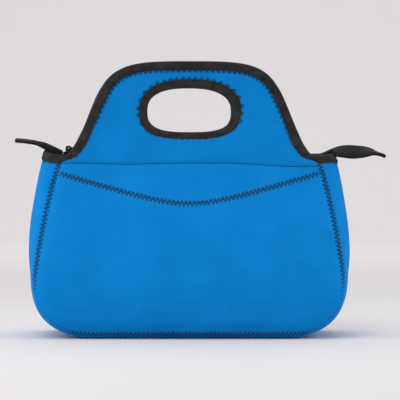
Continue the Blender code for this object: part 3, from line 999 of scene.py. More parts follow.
@dataclass
class BodyPanels(Assembly):
    """Front and back panels with their handles, and the pocket's two pieces."""

    thickness: float = 3.5
    pocket_thickness: float = 3.1
    butt_gap: float = 0.25
    edge_radius: float = 0.7
    handle: "HandleShape | None" = None

    def face_cloth(
        self, name: str, cut: FlatCut, side: Side, lay: float, thickness: float, shift: float = 0.0,
        foam_shade_line: Callable[[np.ndarray], np.ndarray] | None = None,
    ) -> bpy.types.Object:
        """Thick cloth of a flat cut laid on the bag's face.

        Args:
            name: name of the piece.
            cut: its outline.
            side: front or back.
            lay: height of its outer face over the panel's.
            thickness: of the cloth.
            shift: sideways lean of the handle's top.
            foam_shade_line: gives the share of the dark mouth line, partly foam edge and partly painted shade, from 0
                to 1, at flat places.

        Returns:
            The piece.
        """
        flat, faces, edge = cut.triangles()
        points = FORM.skin(flat[:, 0], flat[:, 1], side, lay)
        points[:, 0] += shift * ease(FORM.fold_z + 10, 240.0, points[:, 2])
        if side is Side.BACK:
            faces = [f[::-1] for f in faces]
        share = rounded_edge(edge, self.edge_radius, 0.88)
        points -= face_normals(points, faces) * (thickness * (1 - share) / 2)[:, None]
        # Painted shade: the third weave value marks the dark line at the pocket's mouth, partly foam edge and partly
        # the shade of the gap under the lip.
        if foam_shade_line is not None:
            flat = np.column_stack([flat, foam_shade_line(flat)])
        stock = thick_cloth(points, faces, thickness * share, flat)
        return stock.build(name, self.neoprene, sharp=60)

    def pocket_join(self) -> float:
        """Length along the seam at which the pocket's curved seam meets it."""
        seam = FORM.seam.points
        over = seam[:, 1] - FORM.pocket_seam_z(seam[:, 0])
        first = int(np.argmax(over > 0))
        return float(FORM.seam.lengths[first])

    def pocket_lower(self) -> bpy.types.Object:
        """Lower piece of the pocket."""
        right = FORM.seam.at(np.linspace(0, self.pocket_join(), 160))
        reach = right[-1][0]
        x = np.linspace(reach, -reach, 200)
        top = np.stack([x, FORM.pocket_seam_z(x) - self.butt_gap / 2], axis=-1)
        outline = np.vstack([right[:-1], top, (right * (-1, 1))[::-1][1:-1]])
        piece = self.face_cloth(
            "pocket_lower", FlatCut(outline), Side.FRONT, FORM.pocket_lay, self.pocket_thickness
        )
        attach(piece, "front_wall")
        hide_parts("pocket_panel")
        return self.keep(piece, "blue_neoprene")

    def pocket_upper(self) -> bpy.types.Object:
        """Upper band of the pocket, up to its free mouth."""
        right = FORM.seam.at(np.linspace(self.pocket_join(), FORM.seam.total, 60))
        left = right * (-1, 1)
        low_end = float(FORM.mouth_z(FORM.mouth_half_width))
        right = right[right[:, 1] < low_end - 0.8]
        reach = right[0][0]
        x = np.linspace(-reach, reach, 200)
        low = np.stack([x, FORM.pocket_seam_z(x) + self.butt_gap / 2], axis=-1)
        x = np.linspace(FORM.mouth_half_width + 0.6, -FORM.mouth_half_width - 0.6, 160)
        top = np.stack([x, FORM.mouth_z(x)], axis=-1)
        left = left[left[:, 1] < float(FORM.mouth_z(-FORM.mouth_half_width)) - 0.8]
        outline = np.vstack([low, right[1:], top, left[::-1][:-1]])
        # Painted shade: the top 0.75 mm below the mouth takes the dark line colour, partly the foam's cut edge and
        # partly the shade of the gap under the lip.
        piece = self.face_cloth(
            "pocket_band_top", FlatCut(outline, spacing=2.6), Side.FRONT, FORM.pocket_lay - 0.3,
            self.pocket_thickness, foam_shade_line=lambda flat: ease(-0.75, -0.35, flat[:, 1] - FORM.mouth_z(flat[:, 0])),
        )
        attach(piece, "front_wall")
        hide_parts("pocket_band")
        return self.keep(piece, "blue_neoprene")

    def shell(self, side: Side) -> bpy.types.Object:
        """Panel and handle in one sheet."""
        handle = self.handle
        right = FORM.seam.at(np.linspace(0, FORM.seam.total, 200))
        arch = handle.arch
        lengths = arch.even(1.5)
        inward = handle.inward(lengths)
        edge = arch.at(lengths) + inward * handle.cloth_inset
        edge = edge[np.abs(edge[:, 0]) < FORM.mouth_half_width]
        outline = np.vstack([right, edge, (right * (-1, 1))[::-1][:-1]])
        hole = handle.grip_loop(handle.cloth_inset)
        cut = FlatCut(outline, holes=(hole,))
        piece = self.face_cloth(f"{side.label}_shell", cut, side, 0.0, self.thickness, handle.lean(side))
        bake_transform(piece)
        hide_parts(f"{side.label}_panel", f"{side.label}_handle_panel")
        return self.keep(piece, "blue_neoprene")

    def build(self) -> None:
        """Builds every panel."""
        self.pocket_lower()
        self.pocket_upper()
        for side in Side:
            self.shell(side)


@dataclass
class Gussets(Assembly):
    """One strip of cloth under the bag and up both sides, halved along its middle."""

    thickness: float = 3.5
    near: tuple[float, ...] = (0.0, 0.3, 0.8, 1.6, 2.8)
    columns: int = 17
    row_step: float = 3.4
    end_inset: float = 1.6

    def rows(self) -> list[tuple[float, Hand]]:
        """(length along the seam, hand) of every row, from the left mouth round to the right."""
        total = FORM.seam.total
        top = total + (FORM.corner_top_z - FORM.fold_z) - self.end_inset
        half = [*np.linspace(0.0, total, int(total / self.row_step)), *np.linspace(total, top, 4)[1:]]
        return [(s, Hand.LEFT) for s in half[:0:-1]] + [(s, Hand.RIGHT) for s in half]

    def strip(self, side: Side) -> bpy.types.Object:
        """Front or back half of the strip."""
        points, weave, depths = [], [], []
        for length, hand in self.rows():
            section = Path(FORM.gusset_section(length, hand))
            inner = np.linspace(self.near[-1], section.total, self.columns)[1:]
            reach = np.array([*self.near, *inner])
            points.append(section.at(reach) * (1, -side.value, 1))
            weave.append(np.stack([np.full_like(reach, hand.value * length), reach], axis=-1))
            depths.append(rounded_edge(reach, 0.7, 0.88))
        grid = np.array(points)
        rows, columns = grid.shape[:2]
        flat = grid.reshape(-1, 3)
        share = np.array(depths).ravel()
        faces = grid_faces(rows, columns, flip=side is Side.FRONT)
        normals = face_normals(flat, faces)
        if np.mean(np.sum(normals * (flat - FORM.core), axis=-1)) < 0:
            faces = grid_faces(rows, columns, flip=side is Side.BACK)
            normals = -normals
        swell = wander(flat, 48.0, 5.0) * 0.5
        fade = ease(2.0, 16.0, np.vstack(weave)[:, 1]) * ease(6.0, 30.0, flat[:, 2])
        flat = flat + normals * (swell * fade - self.thickness * (1 - share) / 2)[:, None]
        stock = thick_cloth(flat, faces, self.thickness * share, np.vstack(weave))
        piece = stock.build(f"gusset_strip_{side.label}", self.neoprene, sharp=60)
        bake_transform(piece)
        return self.keep(piece, "blue_neoprene")

    def build(self) -> None:
        """Builds both halves."""
        front = self.strip(Side.FRONT)
        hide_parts("bottom_panel", "left_gusset", "right_gusset")
        self.strip(Side.BACK)


@dataclass
class SeamThreads(Assembly):
    """Zigzag threads of the butt seams round the panels and across the pocket."""

    reach: float = 3.2
    seam: Zigzag = Zigzag(radius=0.33)

    def round_seam(self, side: Side) -> bpy.types.Object:
        """Thread of the seam between a face and the gusset strip."""
        total = FORM.seam.total - 1.5
        signed = self.seam.stations(2 * total) - total
        lengths = np.abs(signed)
        hands = [Hand.LEFT if s < 0 else Hand.RIGHT for s in signed]
        sign = np.sign(signed + 1e-9)
        flat = FORM.seam.at(lengths)
        along = FORM.seam.along(lengths, 2.0)
        inward = np.stack([-along[:, 1], along[:, 0]], axis=-1)
        inner = flat + inward * self.reach
        lay = FORM.pocket_lay if side is Side.FRONT else 0.0
        low = FORM.skin(inner[:, 0] * sign, inner[:, 1], side, lay)
        high = np.array([FORM.gusset_point(s, h, self.reach, side) for s, h in zip(lengths, hands)])
        middle = (low + high) / 2
        outward = outward_of(along_of(middle), high - low, middle - FORM.core)
        piece = self.seam.thread(low, high, outward).build(f"{side.label}_seam_thread", self.thread)
        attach(piece, f"{side.label}_wall")
        return self.keep(piece, "black_binding")

    def pocket_seam(self) -> bpy.types.Object:
        """Thread of the curved seam across the pocket."""
        x = np.linspace(-131.5, 131.5, 400)
        line = Path(np.stack([x, FORM.pocket_seam_z(x)], axis=-1))
        lengths = self.seam.stations(line.total)
        flat, along = line.at(lengths), line.along(lengths)
        up = np.stack([-along[:, 1], along[:, 0]], axis=-1)
        rows = [flat + up * reach for reach in (-self.reach, self.reach)]
        low, high = (FORM.skin(row[:, 0], row[:, 1], Side.FRONT, FORM.pocket_lay) for row in rows)
        outward = outward_of(along_of((low + high) / 2), high - low, np.tile((0.0, -1.0, 0.0), (len(low), 1)))
        piece = self.seam.thread(low, high, outward).build("pocket_seam_thread", self.thread)
        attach(piece, "front_wall")
        return self.keep(piece, "black_binding")

    def build(self) -> None:
        """Sews every seam."""
        for side in Side:
            self.round_seam(side)
        self.pocket_seam()


# Handles and bindings ----------------------------------------------------------------------------


@dataclass(frozen=True)
class HandleShape:
    """Outline of a handle and of its grip hole."""

    arch_points: tuple[tuple[float, float], ...] = (
        (132.6, 184.9), (127.4, 184.6), (124.9, 185.6), (122.4, 188.1), (119.6, 192.3),
        (116.6, 197.0), (108.9, 213.6), (100.4, 233.6), (93.0, 250.0), (82.4, 265.2),
        (69.0, 274.4), (51.5, 279.2), (29.0, 281.0), (0.0, 281.3),
    )
    grip_centre_z: float = 231.0
    grip_half: tuple[float, float] = (43.8, 22.8)
    grip_power: float = 2.4
    grip_low_power: float = 2.95
    cloth_inset: float = 1.5
    leans: tuple[float, float] = (0.9, -1.1)

    @cached_property
    def arch(self) -> Path:
        """Binding's outer edge, (x, z), from the right seam corner over the top to the left."""
        right = list(self.arch_points)
        left = [(-x, z) for x, z in reversed(right[:-1])]
        return Path.smooth(right + left)

    def inward(self, lengths: np.ndarray) -> np.ndarray:
        """Directions from the arch's edge towards its cloth."""
        along = self.arch.along(lengths)
        return np.stack([-along[:, 1], along[:, 0]], axis=-1)

    def grip_loop(self, outset: float, count: int = 180) -> np.ndarray:
        """Even loop round the grip hole, moved out from its edge."""
        angles = np.linspace(0, 2 * math.pi, count * 4, endpoint=False)
        c, s = np.cos(angles), np.sin(angles)
        power = 2 / np.where(s > 0, self.grip_power, self.grip_low_power)
        x = np.sign(c) * np.abs(c) ** power * (self.grip_half[0] + outset)
        z = np.sign(s) * np.abs(s) ** power * (self.grip_half[1] + outset)
        loop = np.stack([x, self.grip_centre_z + z], axis=-1)
        path = Path.round_loop(loop)
        return path.at(np.linspace(0, path.total, count, endpoint=False))

    def lean(self, side: Side) -> float:
        """Sideways shift of a handle's top."""
        return self.leans[side is Side.BACK]


@dataclass
class Bindings(Assembly):
    """Folded strips over the raw edges, and the zigzag threads that hold them."""

    shape: HandleShape = HandleShape()
    width: float = 8.6
    half: float = 3.05
    cloth_half: float = 1.75
    seam: Zigzag = Zigzag(pitch=5.9, radius=0.42, lift=0.3, dive=0.7)
    stitch_in: float = 2.3
    stitch_out: float = 2.6
    handle_extra: float = 0.6
    foot_extra: float = 1.6

    def widths(self, places: np.ndarray) -> np.ndarray:
        """Width of the strip at each place: fuller on a handle, most of all at the foot of its curve."""
        x, z = np.abs(places[:, 0]), places[:, 2]
        handle = ease(FORM.corner_top_z - 9, FORM.corner_top_z + 3, z) * (1 - ease(127.0, 132.4, x))
        outer = ease(0.0, 6.0, np.maximum(x - 56.0, z - 266.0))
        foot = ease(106.0, 116.0, x)
        return self.width + handle * outer * (self.handle_extra + self.foot_extra * foot)

    def section(self, gather: np.ndarray, width: np.ndarray) -> np.ndarray:
        """Sections of the folded strip as (inset, across), a little puckered by its stitches.

        Args:
            gather: -1 to 1 for each section, the state of the pucker.
            width: width of each section.

        Returns:
            (N, M, 2) sections.
        """
        w, h, c = self.width, self.half, self.cloth_half
        face = [
            (w - 0.15, c + 0.12), (w, h - 0.75), (w - 0.35, h - 0.28), (w - 1.4, h - 0.05), (w * 0.6, h + 0.12),
            (3.0, h + 0.05), (1.5, h - 0.2), (0.65, h - 0.75), (0.15, h - 1.6), (0.0, h - 2.6),
        ]
        back = [(n, -t) for n, t in reversed(face)]
        inner = [(w - 0.3, -c + 0.05), (self.shape.cloth_inset - 0.2, -c + 0.3)]
        inner += [(n, -t) for n, t in reversed(inner)]
        base = np.array(face + back + inner)
        made = np.repeat(base[None], len(gather), axis=0)
        gather, extra = gather[:, None], (width - w)[:, None]
        inset, across = base[None, :, 0], base[None, :, 1]
        made[..., 0] += extra * ease(3.0, w - 2.0, inset) + gather * 0.16 * ease(w - 2.0, w, inset)
        made[..., 1] += (gather * 0.1) * (ease(0.4, 2.0, np.abs(across) - c) * np.sign(across))
        return made

    def strip(
        self, name: str, places: np.ndarray, inward: np.ndarray, across: np.ndarray, closed: bool = False
    ) -> bpy.types.Object:
        """Folded strip along an edge."""
        lengths = Path(places).lengths
        gather = np.cos(lengths / (self.seam.pitch / 2) * 2 * math.pi)
        gather = gather + wander(places, 9.0, 7.0) * 0.9
        section = self.section(gather, self.widths(places))
        points, faces = sweep(section, places, inward, across, closed)
        girth = np.concatenate([[0], np.cumsum(np.linalg.norm(np.diff(section[0], axis=0), axis=1))])
        weave = np.stack(np.meshgrid(lengths, girth, indexing="ij"), axis=-1).reshape(-1, 2)
        stock = MeshStock()
        stock.add(points, faces, weave)
        piece = stock.build(name, self.binding, sharp=70)
        return piece

    def stitches(
        self, name: str, places: np.ndarray, inward: np.ndarray, across: np.ndarray, faces: Sequence[int]
    ) -> bpy.types.Object:
        """Zigzag thread over the strip's inner edge, on the given faces of the cloth."""
        path = Path(places)
        stations = self.seam.stations(path.total)
        stock = MeshStock()
        at = path.at(stations)
        axes = [
            unit(np.stack([np.interp(stations, path.lengths, rows[:, k]) for k in range(3)], axis=-1))
            for rows in (inward, across)
        ]
        width = self.widths(at)[:, None]
        for sign in faces:
            out = axes[1] * sign
            low = at + axes[0] * (width - self.stitch_in) + out * (self.half + 0.02)
            high = at + axes[0] * (width + self.stitch_out) + out * (self.cloth_half + 0.12)
            thread = self.seam.thread(low, high, out)
            stock.add(np.vstack(thread.points), thread.faces)
        return stock.build(name, self.thread)

    def edge_places(self, flat: np.ndarray, side: Side) -> np.ndarray:
        """Places in space of points on a handle's middle layer."""
        y = side.value * FORM.handle_depth(flat[:, 1])
        x = flat[:, 0] + self.shape.lean(side) * ease(FORM.fold_z + 10, 240.0, flat[:, 1])
        return np.stack([x, y, flat[:, 1]], axis=-1)

    def handle_edge(self, side: Side) -> None:
        """Binding over a handle's outer edge."""
        lengths = self.shape.arch.even(1.3)
        places = self.edge_places(self.shape.arch.at(lengths), side)
        flat_in = self.shape.inward(lengths)
        inward = np.stack([flat_in[:, 0], np.zeros(len(lengths)), flat_in[:, 1]], axis=-1)
        across = np.tile((0.0, float(side.value), 0.0), (len(lengths), 1))
        label = side.label
        piece = self.strip(f"{label}_handle_edge_binding", places, inward, across)
        thread = self.stitches(f"{label}_handle_edge_thread", places, inward, across, (1, -1))
        for made in (piece, thread):
            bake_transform(made)
        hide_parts(f"{label}_handle_binding")
        self.keep(piece, "black_binding")
        self.keep(thread, "black_binding")

    def grip_edge(self, side: Side) -> None:
        """Binding round a grip hole."""
        loop = self.shape.grip_loop(0.0, 150)
        places = self.edge_places(loop, side)
        left = loop_sides(loop)
        inward = np.stack([-left[:, 0], np.zeros(len(loop)), -left[:, 1]], axis=-1)
        across = np.tile((0.0, float(side.value), 0.0), (len(loop), 1))
        label = side.label
        piece = self.strip(f"{label}_grip_edge_binding", places, inward, across, closed=True)
        ring = [np.vstack([a, a[:1]]) for a in (places, inward, across)]
        thread = self.stitches(f"{label}_grip_edge_thread", *ring, (1, -1))
        for made in (piece, thread):
            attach(made, f"{label}_handle")
        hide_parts(f"{label}_grip_binding")
        self.keep(piece, "black_binding")
        self.keep(thread, "black_binding")

    def gusset_edge(self, hand: Hand, side: Side) -> None:
        """Binding over half of a gusset's upper edge."""
        top = FORM.seam.total + (FORM.corner_top_z - FORM.fold_z)
        section = Path(FORM.gusset_section(top, hand, 240) * (1, -side.value, 1))
        lengths = section.even(1.2)
        outer = section.at(lengths)
        ahead = section.along(lengths, 0.8)
        ahead[:, 2] = 0.0
        ahead = unit(ahead)
        ahead[-1] = (0.0, -side.value, 0.0)
        outward = np.stack([ahead[:, 1], -ahead[:, 0], np.zeros(len(ahead))], axis=-1)
        facing = side.value * outward[:, 1] + 0.5 * hand.value * outward[:, 0]
        outward *= np.sign(facing)[:, None]
        places = outer - outward * self.cloth_half
        below = Path(FORM.gusset_section(FORM.seam.total, hand, 240) * (1, -side.value, 1))
        inward = unit(below.at(lengths / section.total * below.total) - outer)
        label = f"{hand.label}_{side.label}"
        piece = self.strip(f"{label}_gusset_edge_binding", places, inward, outward)
        thread = self.stitches(f"{label}_gusset_edge_thread", places, inward, outward, (1,))
        for made in (piece, thread):
            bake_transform(made)
            self.keep(made, "black_binding")
        if side is Side.FRONT:
            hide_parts(f"{hand.label}_gusset_binding")

    def build(self) -> None:
        """Binds every raw edge."""
        for side in Side:
            self.handle_edge(side)
            self.grip_edge(side)
            for hand in Hand:
                self.gusset_edge(hand, side)


# Zip -------------------------------------------------------------------------------------------


@dataclass
class Zip(Assembly):
    """Tapes, coils and stops of the zip that closes the mouth."""

    tape: bpy.types.Material = None
    nylon: bpy.types.Material = None
    tape_z: float = 183.6
    tape_thickness: float = 0.8
    wall_half: float = 112.0
    stop_x: float = 131.0
    end_x: float = 147.5
    end_start: float = 134.0
    end_level: float = 149.0
    rises: tuple[float, float] = (11.6, 7.2)
    tooth_pitch: float = 1.5
    tooth_radius: float = 0.42
    columns: int = 16

    def rise(self, hand: Hand) -> float:
        """How far the tape's end climbs over the gusset's edge."""
        return self.rises[hand is Hand.RIGHT]

    def end_z(self, x: np.ndarray | float, hand: Hand) -> np.ndarray:
        """Height of the tape's underside."""
        return self.tape_z + self.rise(hand) * ease(self.end_start, self.end_level, np.abs(x))

    def tape_section(self, flatten: float) -> Path:
        """(y, z over the flat part) across half a tape; flatten lays its sewn leg level."""
        sewn = np.array([(0.7, 0), (3.5, 0), (6.4, -0.1), (8.6, -1.3), (10.3, -4.4), (11.7, -9.0), (12.7, -15.0)])
        level = np.array([(0.7, 0), (3.2, 0), (5.6, -0.2), (7.4, -0.9), (8.6, -2.2), (9.2, -4.0), (9.4, -5.5)])
        return Path.smooth(sewn * (1 - flatten) + level * flatten, 5)

    def half_tape(self, side: Side, hand: Hand | None) -> bpy.types.Object:
        """The middle stretch of a half tape, or its end on one hand."""
        if hand is None:
            xs = np.linspace(-self.wall_half, self.wall_half, 90)
        else:
            xs = np.linspace(self.wall_half, self.end_x, 36) * hand.value
        grid, weave = [], []
        for x in xs:
            flatten = float(ease(self.stop_x - 12, self.stop_x + 4, abs(x)))
            section = self.tape_section(flatten)
            reach = np.linspace(0, section.total, self.columns)
            line = section.at(reach)
            line[:, 0] *= 1 - 0.25 * ease(138.0, 148.0, abs(x))
            line[:, 1] *= 1 - 0.8 * ease(136.0, 146.0, abs(x))
            top = self.end_z(x, hand or Hand.RIGHT) + self.tape_thickness
            ripple = 0.12 * math.sin(x / 3.1) * ease(3.0, 8.0, line[:, 0])
            here = np.full(self.columns, x)
            grid.append(np.stack([here, side.value * line[:, 0], top + line[:, 1] + ripple], axis=-1))
            weave.append(np.stack([here, reach], axis=-1))
        points, flat = np.vstack(grid), np.vstack(weave)
        faces = grid_faces(len(xs), self.columns)
        if np.mean(face_normals(points, faces)[:, 2]) < 0:
            faces = [f[::-1] for f in faces]
        name = f"{side.label}_tape" if hand is None else f"{hand.label}_{side.label}_tape_end"
        piece = thick_cloth(points, faces, self.tape_thickness * 0.9, flat).build(name, self.tape)
        if hand is None:
            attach(piece, f"{side.label}_wall")
            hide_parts(f"{side.label}_zip_tape")
        else:
            hand.value * self.wall_half * MM
            hand.value * self.stop_x * MM
            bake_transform(piece)
            if side is Side.FRONT:
                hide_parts(f"{hand.label}_zip_end")
        return self.keep(piece, "black_tape")

    def teeth(self, side: Side, low: float, high: float) -> MeshStock:
        """Loops of coil between two places along the zip."""
        stock = MeshStock()
        first = math.ceil(low / self.tooth_pitch)
        last = math.floor(high / self.tooth_pitch)
        z = self.tape_z + self.tape_thickness + 0.1
        shift = 0.25 * side.value * self.tooth_pitch
        loop = np.array(
            [(0.0, 2.9, 0.2), (0.0, 2.7, 0.9), (0.0, 1.9, 1.4), (0.0, 0.6, 1.6), (0.05, -0.55, 1.5),
             (0.1, -0.95, 1.0), (0.15, -0.6, 0.5), (0.25, 0.6, 0.35), (0.4, 2.0, 0.3), (0.5, 2.85, 0.3)]
        )
        swell = np.array([1, 1, 1, 1.05, 1.35, 1.5, 1.3, 1, 1, 1]) * self.tooth_radius
        for k in range(first, last + 1):
            path = loop * (1.0, side.value, 1.0) + (k * self.tooth_pitch + shift, 0.0, z)
            stock.add(*tube(path, swell, sides=6))
        return stock

    def coils(self) -> None:
        """Both coils: the long stretches on the walls, and the short ones at the ends."""
        for side in Side:
            piece = self.teeth(side, -self.wall_half, self.wall_half).build(f"{side.label}_coil", self.nylon)
            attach(piece, f"{side.label}_wall")
            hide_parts(f"{side.label}_zip_coil")
            self.keep(piece, "black_nylon")
            for hand in Hand:
                ends = sorted((hand.value * (self.wall_half + 1), hand.value * self.stop_x))
                piece = self.teeth(side, *ends).build(f"{hand.label}_{side.label}_coil_end", self.nylon)
                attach(piece, "base")
                self.keep(piece, "black_nylon")

    def stops(self) -> None:
        """Crimped top stops, and the moulded box at the other end."""
        z = self.tape_z + self.tape_thickness
        for side in Side:
            stock = MeshStock()
            middle = np.array((-self.stop_x - 1.4, side.value * 1.9, z + 0.75))
            stock.add(*rounded_block(middle, (2.8, 2.7, 2.3), 0.55))
            piece = stock.build(f"top_stop_{side.label}", self.nylon)
            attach(piece, "base")
            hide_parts(f"zip_top_stop_{side.label}")
            self.keep(piece, "black_nylon")
        stock = MeshStock()
        stock.add(*rounded_block(np.array((self.stop_x + 1.5, 0.0, z + 0.75)), (3.2, 7.2, 2.4), 0.7))
        stock.add(*rounded_block(np.array((self.stop_x + 1.5, 0.0, z + 2.0)), (1.0, 5.2, 0.7), 0.25))
        piece = stock.build("bottom_stop", self.nylon)
        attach(piece, "base")
        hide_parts("zip_bottom_stop")
        self.keep(piece, "black_nylon")

    def build(self) -> None:
        """Builds the zip without its slider."""
        for side in Side:
            for hand in (None, *Hand):
                self.half_tape(side, hand)
        self.coils()
        self.stops()


def rounded_block(centre: np.ndarray, size: Sequence[float], radius: float) -> tuple:
    """Box with rounded edges, as points and faces."""
    bm = bmesh.new()
    bmesh.ops.create_cube(bm, size=1.0)
    for v in bm.verts:
        v.co = Vector(v.co[i] * size[i] for i in range(3))
    bmesh.ops.bevel(bm, geom=bm.edges, offset=radius, segments=3, profile=0.6, affect="EDGES")
    points = np.array([tuple(v.co) for v in bm.verts]) + centre
    faces = [tuple(v.index for v in f.verts) for f in bm.faces]
    bm.free()
    return points, faces


def inset_loop(loop: np.ndarray, amount: float) -> np.ndarray:
    """A closed loop moved in towards its middle."""
    area = np.sum(loop[:, 0] * np.roll(loop[:, 1], -1) - np.roll(loop[:, 0], -1) * loop[:, 1])
    return loop + loop_sides(loop) * np.sign(area) * amount


def bevelled_plate(
    outline: np.ndarray, low: float, high: float, radius: float, hole: np.ndarray | None = None
) -> tuple:
    """Flat plate with rounded edges, standing between two heights.

    Args:
        outline: (N, 2) loop in x and y.
        low: height of its underside.
        high: height of its top.
        radius: of its edges.
        hole: (N, 2) loop of the same count, for a plate with an opening.

    Returns:
        Points and faces.
    """
    turns = [(radius * (1 - math.sin(a)), radius * (1 - math.cos(a))) for a in np.linspace(0, math.pi / 2, 4)]
    steps = [(low + rise, back) for rise, back in turns[::-1]] + [(high - rise, back) for rise, back in turns]
    n = len(outline)
    rings = [np.column_stack([inset_loop(outline, back), np.full(n, z)]) for z, back in steps]
    faces = grid_faces(len(rings), n, wrap=True)
    if hole is None:
        faces += [tuple(range(n))[::-1], tuple((len(rings) - 1) * n + j for j in range(n))]
        return np.vstack(rings), faces
    rings += [np.column_stack([inset_loop(hole, -back), np.full(n, z)]) for z, back in steps[::-1]]
    faces = grid_faces(len(rings), n, wrap=True)
    last = (len(rings) - 1) * n
    faces += [(last + j, last + (j + 1) % n, (j + 1) % n, j) for j in range(n)]
    return np.vstack(rings), faces


def super_loop(half: Sequence[float], power: float, count: int = 48, centre: Sequence[float] = (0, 0)) -> np.ndarray:
    """Loop of a superellipse in x and y."""
    a = np.linspace(0, 2 * math.pi, count, endpoint=False)
    c, s = np.cos(a), np.sin(a)
    x = np.sign(c) * np.abs(c) ** (2 / power) * half[0]
    y = np.sign(s) * np.abs(s) ** (2 / power) * half[1]
    return np.stack([x + centre[0], y + centre[1]], axis=-1)


@dataclass
class Slider(Assembly):
    """Slider and pull tab."""

    metal: bpy.types.Material = None
    middle_x: float = -124.0
    length: float = 13.0
    half_width: float = 5.2
    plate: float = 1.1
    low_z: float = 182.1
    top_z: float = 187.1
    pull_z: float = 192.2
    bail_height: float = 6.2
    pull_length: float = 20.6
    pull_half_thick: float = 0.7
    eye_shift: float = 3.85

    def plate_outline(self) -> np.ndarray:
        """Outline of a slider plate: shoulders towards the stops, narrow towards the open zip."""
        loop = super_loop((self.length / 2, self.half_width), 3.2, 56)
        loop[:, 1] *= 1 - 0.14 * ease(-0.4, 1.0, loop[:, 0] / (self.length / 2))
        return loop + (self.middle_x, 0)

    def body(self) -> bpy.types.Object:
        """Two plates, their rims and the bail."""
        stock = MeshStock()
        outline = self.plate_outline()
        stock.add(*bevelled_plate(outline, self.low_z, self.low_z + self.plate, 0.3))
        stock.add(*bevelled_plate(outline, self.top_z, self.top_z + self.plate, 0.4))
        raised = super_loop((self.length / 2 - 2.0, self.half_width - 2.1), 3.0, 40, (self.middle_x, 0))
        stock.add(*bevelled_plate(raised, self.top_z + self.plate - 0.2, self.top_z + self.plate + 0.3, 0.2))
        for sign in (-1, 1):
            rim = super_loop((self.length / 2 - 1.2, 0.35), 4.0, 24, (self.middle_x, sign * (self.half_width - 0.75)))
            rim[:, 1] -= sign * 0.55 * ease(0, self.length / 2, rim[:, 0] - self.middle_x)
            stock.add(*bevelled_plate(rim, self.top_z - 1.0, self.top_z + 0.4, 0.12))
            stock.add(*bevelled_plate(rim, self.low_z + 0.4, self.low_z + 1.35, 0.12))
        crown = self.top_z + self.plate
        top = crown + self.bail_height
        side_view = Path.smooth(
            [
                (-3.5, crown - 0.3), (-3.5, top - 2.4), (-2.9, top - 0.6), (-1.6, top), (0.7, top),
                (2.0, top - 0.7), (2.6, top - 2.4), (3.1, crown + 0.6), (3.2, crown - 0.3),
            ],
            6,
        )
        floor = [(x, crown - 0.3) for x in np.linspace(2.8, -3.1, 8)]
        closed = Path.round_loop(np.vstack([side_view.points, floor]))
        outline = closed.at(np.linspace(0, closed.total, 64, endpoint=False)) + (self.middle_x, 0)
        slot = super_loop((1.02, 0.95), 2.4, 64, (self.middle_x, self.pull_z))
        slot = np.roll(slot[::-1], 40, axis=0)
        plate, faces = bevelled_plate(outline, -1.45, 1.45, 0.4, hole=slot)
        stock.add(plate[:, [0, 2, 1]], faces)
        piece = stock.build("slider_body", self.metal, sharp=40)
        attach(piece, "slider")
        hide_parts("zip_slider")
        return self.keep(piece, "black_metal")

    def pull(self) -> bpy.types.Object:
        """Pull tab: an eye round the bail, a neck and a tapered tab with a raised border."""
        stock = MeshStock()
        x = np.linspace(0, 1, 14)
        half = 2.7 + 0.9 * ease(0.25, 0.95, x)
        top = np.stack([self.middle_x - 0.2 + x * self.pull_length, half], axis=-1)
        end_x = top[-1][0]
        tip = [(end_x + 1.9 * math.sin(a), half[-1] * math.cos(a)) for a in np.linspace(0.25, math.pi - 0.25, 9)]
        root = [(top[0][0] - 0.5 * math.sin(a), -half[0] * math.cos(a)) for a in np.linspace(0.4, math.pi - 0.4, 5)]
        raw = Path(np.vstack([top, tip, (top * (1, -1))[::-1], root, top[:1]]))
        count = 72
        outline = raw.at(np.linspace(0, raw.total, count, endpoint=False))
        eye_x = self.middle_x + self.eye_shift
        eye = super_loop((3.2, 1.75), 2.8, count, (eye_x, 0))
        eye = eye[np.argsort(np.arctan2(eye[:, 1], eye[:, 0] - eye_x) % (2 * math.pi))]
        start = int(np.argmin(np.linalg.norm(eye - outline[0], axis=1)))
        eye = np.roll(np.roll(eye, -start, axis=0)[::-1], 1, axis=0)
        low, high = self.pull_z - self.pull_half_thick, self.pull_z + self.pull_half_thick
        stock.add(*bevelled_plate(outline, low, high, 0.35, hole=eye))
        pad = super_loop((6.0, 2.1), 4.0, 40, (self.middle_x + 14.6, 0))
        stock.add(*bevelled_plate(pad, high - 0.2, high + 0.28, 0.2))
        piece = stock.build("pull_tab", self.metal, sharp=40)
        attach(piece, "pull")
        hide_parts("zip_pull")
        return self.keep(piece, "black_metal")

    def build(self) -> None:
        """Builds the slider and its pull."""
        self.body()
        self.pull()


